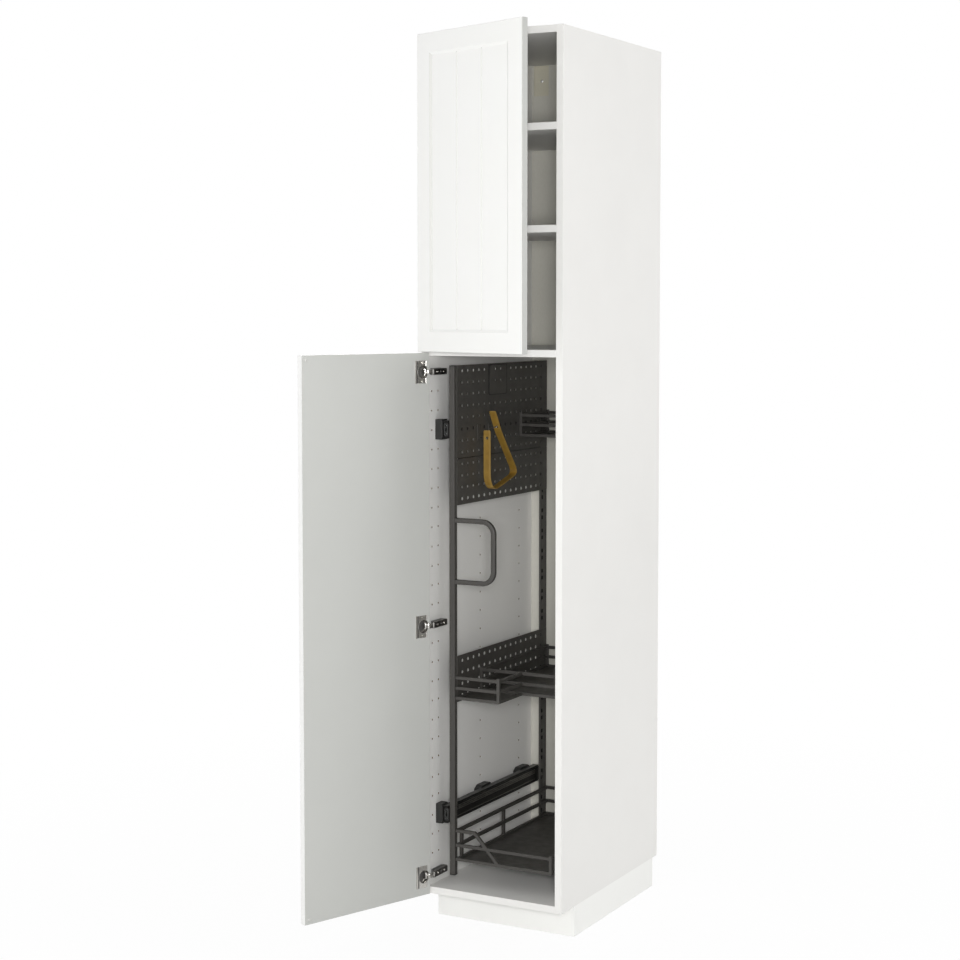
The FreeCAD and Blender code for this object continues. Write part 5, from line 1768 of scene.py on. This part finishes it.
@dataclass
class HangingStrap:
    """The ochre strap that hangs in two hooks.

    Sizes are in millimetres. path is the corners of its middle line as (place from front to rear, height), and bends
    says how far from each corner its curve starts.
    """

    shop: Workshop
    left: float = -113.0
    width: float = 20.0
    thickness: float = 2.0
    path: tuple[Point, ...] = ((-98.0, 1322.0), (-66.0, 1268.0), (31.0, 1151.0), (-64.0, 1124.0), (-102.0, 1116.0),
                               (-127.0, 1139.0), (-127.0, 1273.0))
    bends: tuple[float, ...] = (0.0, 10.0, 26.0, 16.0, 16.0, 20.0, 0.0)
    hook_height: float = 1281.0
    hook_drops: tuple[float, float] = (1.0, 28.0)
    slot_along: float = 7.0
    slot_across: float = 8.0
    cell: float = 12.0
    step: float = 2.5
    corner: float = 2.0
    plate_left: float = -126.5
    plate: float = 1.5
    plate_half: float = 9.0
    plate_reach: tuple[float, float] = (-34.0, 8.0)
    hook_columns: tuple[float, float] = (-69.6, -129.6)
    bar: float = 3.0
    peg: float = 5.0
    play: float = 0.3
    tip_bend: float = 2.0
    screw_profile: tuple[Point, ...] = ((0, -3.0), (3.0, -3.0), (3.4, -2.6), (3.4, -1.5), (2.2, -1.5), (2.2, 0), (0, 0))
    slot_share: float = 0.92
    slot_corner: float = 0.86
    end_points: int = 40
    shares: tuple[float, ...] = (-0.5, -0.25, 0.0, 0.25, 0.5)
    lengths: list[float] = field(default_factory=list)
    line: list[Vector] = field(default_factory=list)

    def build(self) -> None:
        """Build the strap and dress its hooks."""
        self.line = [Vector(point) for point in eased(self.path, self.bends, 12)]
        self.lengths = [0.0]
        for first, second in zip(self.line, self.line[1:]):
            self.lengths.append(self.lengths[-1] + (second - first).length)
        self.hooks()
        bm = bmesh.new()
        whole = self.lengths[-1]
        first, last = self.slot_places()
        rows = self.run(bm, 0.0, first - self.cell / 2)
        rows = self.slotted(bm, rows, first)
        rows = self.run(bm, first + self.cell / 2, last - self.cell / 2, rows)
        rows = self.slotted(bm, rows, last)
        self.run(bm, last + self.cell / 2, whole, rows)
        piece = self.shop.add("hanging_strap_band", bm, Body.PULL_OUT, Slot.STRAP, ["hanging_strap"], smooth=60.0)
        solid = piece.modifiers.new("thickness", "SOLIDIFY")
        solid.thickness = self.thickness * MM
        solid.offset = 0.0
        soften(piece, 0.5, 2, 50.0)

    def hooks(self) -> None:
        """Build the two coated plates on the sheet and the bright bars that carry the strap."""
        plates = bmesh.new()
        bars = bmesh.new()
        ends = ((self.path[0], self.path[1], -1), (self.path[-1], self.path[-2], 1))
        low = self.plate_left
        z = self.hook_height
        screw = [(radius, low + depth) for radius, depth in self.screw_profile]
        for (start, ahead, turn), drop, y in zip(ends, self.hook_drops, self.hook_columns):
            outline = rounded_box(y - self.plate_half, z + self.plate_reach[0], y + self.plate_half,
                                  z + self.plate_reach[1], 2.5, 4)
            prism(plates, outline, low, low + self.plate, Axis.X)
            turned(plates, screw, y, z, Axis.X, 20)
            along = (Vector(ahead) - Vector(start)).normalized()
            normal = Vector((turn * along.y, -turn * along.x))
            on_strap = Vector(start) + along * ((z - drop - start[1]) / along.y)
            centre = on_strap - normal * (self.thickness / 2 + self.play + self.bar / 2)
            tip = centre + normal * (self.thickness + self.peg)
            end = self.left + self.width / 2
            path = [Axis.X.spot(centre.x, centre.y, low + self.plate - 0.2)]
            for step in range(9):
                angle = math.pi / 2 * step / 8
                spot = centre + normal * (self.tip_bend * (1 - math.cos(angle)))
                path.append(Axis.X.spot(spot.x, spot.y, end - self.tip_bend + self.tip_bend * math.sin(angle)))
            path.append(Axis.X.spot(tip.x, tip.y, end))
            side = Vector((0, along.x, along.y))
            swept(bars, path, side, circle(0.0, 0.0, self.bar / 2 * MM, 14))
        eased_edges(plates, 0.3, 2, 50.0)
        eased_edges(bars, 0.4, 2, 60.0)
        self.shop.add("strap_hook_plates", plates, Body.PULL_OUT, Slot.COAT)
        self.shop.add("strap_hook_bars", bars, Body.PULL_OUT, Slot.NICKEL, ["strap_hooks"])

    def slot_places(self) -> tuple[float, float]:
        """Return how far along the strap its two slots are.

        Returns:
            The distances from the strap's upper end, in millimetres.
        """
        places = []
        for drop, part in zip(self.hook_drops, (slice(0, self.end_points), slice(-self.end_points, None))):
            height = self.hook_height - drop
            spots = list(zip(self.line, self.lengths))[part]
            for (a, s), (b, t) in zip(spots, spots[1:]):
                if min(a.y, b.y) <= height <= max(a.y, b.y):
                    places.append(s + (t - s) * (height - a.y) / (b.y - a.y))
                    break
        return places[0], places[1]

    def spot(self, along: float, across: float) -> Vector:
        """Return the place of a point of the strap's flat pattern.

        Args:
            along: Distance from its upper end.
            across: Distance from its middle line.

        Returns:
            The place in metres.
        """
        along = min(max(along, 0.0), self.lengths[-1])
        index = max(i for i, gone in enumerate(self.lengths[:-1]) if gone <= along + 1e-9)
        span = self.lengths[index + 1] - self.lengths[index]
        here = self.line[index].lerp(self.line[index + 1], (along - self.lengths[index]) / span)
        return Axis.X.spot(here.x, here.y, self.left + self.width / 2 + across)

    def inset(self, along: float) -> float:
        """Return the strap's half width at a place, which shrinks over its rounded ends.

        Args:
            along: Distance from its upper end.

        Returns:
            The half width in millimetres.
        """
        gap = min(along, self.lengths[-1] - along)
        half = self.width / 2
        corner = self.corner
        if gap >= corner:
            return half
        return half - corner + math.sqrt(corner * corner - (corner - gap) ** 2)

    def row(self, bm: bmesh.types.BMesh, along: float) -> list[bmesh.types.BMVert]:
        """Return a new row of points across the strap."""
        full = 2 * self.inset(along)
        return [bm.verts.new(self.spot(along, share * full)) for share in self.shares]

    def run(self, bm: bmesh.types.BMesh, start: float, end: float,
            first: list[bmesh.types.BMVert] | None = None) -> list[bmesh.types.BMVert]:
        """Add a plain stretch of the strap.

        Args:
            bm: The mesh being built.
            start: Where it starts along the strap.
            end: Where it ends.
            first: The row that it starts from, if there is one.

        Returns:
            Its last row.
        """
        count = max(2, round((end - start) / self.step))
        rows = [first or self.row(bm, start)]
        rows += [self.row(bm, start + (end - start) * i / count) for i in range(1, count + 1)]
        for low, high in zip(rows, rows[1:]):
            for i in range(len(low) - 1):
                bm.faces.new((low[i], low[i + 1], high[i + 1], high[i]))
        return rows[-1]

    def slotted(self, bm: bmesh.types.BMesh, first: list[bmesh.types.BMVert],
                middle: float) -> list[bmesh.types.BMVert]:
        """Add the stretch around one slot.

        Args:
            bm: The mesh being built.
            first: The row that it starts from.
            middle: Where the slot's middle is along the strap.

        Returns:
            Its last row.
        """
        last = self.row(bm, middle + self.cell / 2)
        full = self.width / 2
        rises = (-self.cell / 4, 0.0, self.cell / 4)
        right = [bm.verts.new(self.spot(middle + rise, full)) for rise in rises]
        left = [bm.verts.new(self.spot(middle + rise, -full)) for rise in rises[::-1]]
        outer = first + right + last[::-1] + left
        a = self.slot_across / 2
        b = self.slot_along / 2
        c = self.slot_corner
        mouth = [(-c, -c), (-0.5, -1), (0, -1), (0.5, -1), (c, -c), (1, -0.5), (1, 0), (1, 0.5), (c, c), (0.5, 1),
                 (0, 1), (-0.5, 1), (-c, c), (-1, 0.5), (-1, 0), (-1, -0.5)]
        band(bm, outer, [bm.verts.new(self.spot(middle + v * b, u * a)) for u, v in mouth])
        return last


@dataclass
class Studio:
    """The pale floor, the soft light and the camera.

    Places are in metres, yaw and dip in degrees. Each lamp has a name, a place, the side of its panel and its watts.
    """

    camera_place: Place = (2.2897, -4.5658, 1.5964)
    yaw: float = 28.36
    dip: float = 3.75
    lens: float = 72.61
    shift_x: float = -0.0063
    shift_y: float = -0.0488
    glow: float = 0.95
    glow_from: float = 0.6
    glow_full: float = 2.4
    floor_half: float = 9.0
    ambient: float = 0.41
    aim: Place = (0.0, 0.0, 1.1)
    lamps: tuple[tuple[str, Place, float, float], ...] = (
        ("key_panel", (-0.6, -5.2, 1.9), 2.6, 34.0),
        ("front_panel", (2.35, -4.55, 1.65), 0.7, 119.0),
        ("rear_panel", (4.2, 2.0, 2.4), 3.0, 64.0),
        ("back_panel_fill", (-3.6, 3.6, 2.2), 3.0, 60.0),
        ("overhead_panel", (0.0, 0.5, 5.2), 2.4, 46.0),
    )

    def build(self) -> None:
        """Set up the floor, the world, the lamps and the camera."""
        scene = bpy.context.scene
        scene.view_settings.view_transform = "Standard"
        self.world()
        self.floor()
        for name, place, size, power in self.lamps:
            self.lamp(name, place, size, power)
        camera = bpy.data.cameras.new("camera")
        camera.sensor_width = 36.0
        camera.lens = self.lens
        camera.shift_x = self.shift_x
        camera.shift_y = self.shift_y
        camera.clip_end = 60.0
        stand = bpy.data.objects.new("camera", camera)
        stand.location = self.camera_place
        stand.rotation_euler = (math.radians(90 - self.dip), 0.0, math.radians(self.yaw))
        scene.collection.objects.link(stand)
        scene.camera = stand

    def world(self) -> None:
        """Light the scene evenly and show a white background."""
        world = bpy.data.worlds.new("studio")
        bpy.context.scene.world = world
        world.use_nodes = True
        tree = world.node_tree
        tree.nodes.clear()
        path = tree.nodes.new("ShaderNodeLightPath")
        first, second = (tree.nodes.new("ShaderNodeMath") for _ in range(2))
        light, seen = (tree.nodes.new("ShaderNodeBackground") for _ in range(2))
        for background, strength in ((light, self.ambient), (seen, 1.0)):
            background.inputs["Color"].default_value = WHITE
            background.inputs["Strength"].default_value = strength
        for largest in (first, second):
            largest.operation = "MAXIMUM"
        mix = tree.nodes.new("ShaderNodeMixShader")
        out = tree.nodes.new("ShaderNodeOutputWorld")
        for source, target in (
                (path.outputs["Is Camera Ray"], first.inputs[0]), (path.outputs["Is Glossy Ray"], first.inputs[1]),
                (first.outputs[0], second.inputs[0]), (path.outputs["Is Transmission Ray"], second.inputs[1]),
                (second.outputs[0], mix.inputs["Fac"]), (light.outputs[0], mix.inputs[1]),
                (seen.outputs[0], mix.inputs[2]), (mix.outputs[0], out.inputs["Surface"])):
            tree.links.new(source, target)

    def floor(self) -> None:
        """Lay the pale floor, which keeps the object's shadow."""
        material = bpy.data.materials.new("floor_paper")
        material.use_nodes = True
        tree = material.node_tree
        tree.nodes.clear()
        paper = tree.nodes.new("ShaderNodeBsdfDiffuse")
        paper.inputs["Color"].default_value = (0.9, 0.9, 0.9, 1)
        glow = tree.nodes.new("ShaderNodeEmission")
        glow.inputs["Color"].default_value = WHITE
        glow.inputs["Strength"].default_value = 1.0
        path = tree.nodes.new("ShaderNodeLightPath")
        place = tree.nodes.new("ShaderNodeTexCoord")
        away = tree.nodes.new("ShaderNodeVectorMath")
        away.operation = "LENGTH"
        fade = tree.nodes.new("ShaderNodeMapRange")
        for name, number in (("From Min", self.glow_from), ("From Max", self.glow_full), ("To Min", self.glow),
                             ("To Max", 1.0)):
            fade.inputs[name].default_value = number
        share = tree.nodes.new("ShaderNodeMath")
        share.operation = "MULTIPLY"
        mix = tree.nodes.new("ShaderNodeMixShader")
        out = tree.nodes.new("ShaderNodeOutputMaterial")
        for source, target in (
                (place.outputs["Object"], away.inputs[0]), (away.outputs["Value"], fade.inputs["Value"]),
                (path.outputs["Is Camera Ray"], share.inputs[0]), (fade.outputs["Result"], share.inputs[1]),
                (share.outputs[0], mix.inputs["Fac"]), (paper.outputs[0], mix.inputs[1]),
                (glow.outputs[0], mix.inputs[2]), (mix.outputs[0], out.inputs["Surface"])):
            tree.links.new(source, target)
        bm = bmesh.new()
        bmesh.ops.create_grid(bm, x_segments=8, y_segments=8, size=self.floor_half)
        mesh = bpy.data.meshes.new("floor")
        bm.to_mesh(mesh)
        bm.free()
        mesh.materials.append(material)
        plane = bpy.data.objects.new("floor", mesh)
        bpy.context.scene.collection.objects.link(plane)

    def lamp(self, name: str, place: Place, size: float, power: float) -> None:
        """Hang one soft lamp that looks at the cabinet's middle.

        Args:
            name: Name of the lamp.
            place: Where it hangs, in metres.
            size: Side of its square panel.
            power: Its power in watts.
        """
        lamp = bpy.data.lights.new(name, "AREA")
        lamp.shape = "SQUARE"
        lamp.size = size
        lamp.energy = power
        hung = bpy.data.objects.new(name, lamp)
        hung.location = place
        aim = Vector(self.aim) - Vector(place)
        hung.rotation_euler = aim.to_track_quat("-Z", "Y").to_euler()
        bpy.context.scene.collection.objects.link(hung)


def main() -> None:
    """Build the cabinet's sub-assemblies in order."""
    logging.basicConfig(level=logging.INFO, format="%(name)s: %(message)s")
    shop = Workshop()
    Studio().build()
    Carcass(shop).build()
    Base(shop).build()
    HingedDoor(shop, "lower", Body.LOWER_DOOR, Body.LOWER_LINKS, opening=110.5, bottom=81.5, top=1478.5,
               hinge_heights=(130.0, 780.0, 1430.0)).build()
    # The upper door's grey edge tone is painted shade.
    HingedDoor(shop, "upper", Body.UPPER_DOOR, Body.UPPER_LINKS, opening=20.9, bottom=1481.5, top=2278.5,
               hinge_heights=(1530.0, 2230.0), edge_tone_and_shade=(176, 177, 173)).build()
    Runners(shop).build()
    Organiser(shop).build()
    HangingStrap(shop).build()


if __name__ == "__main__":
    main()
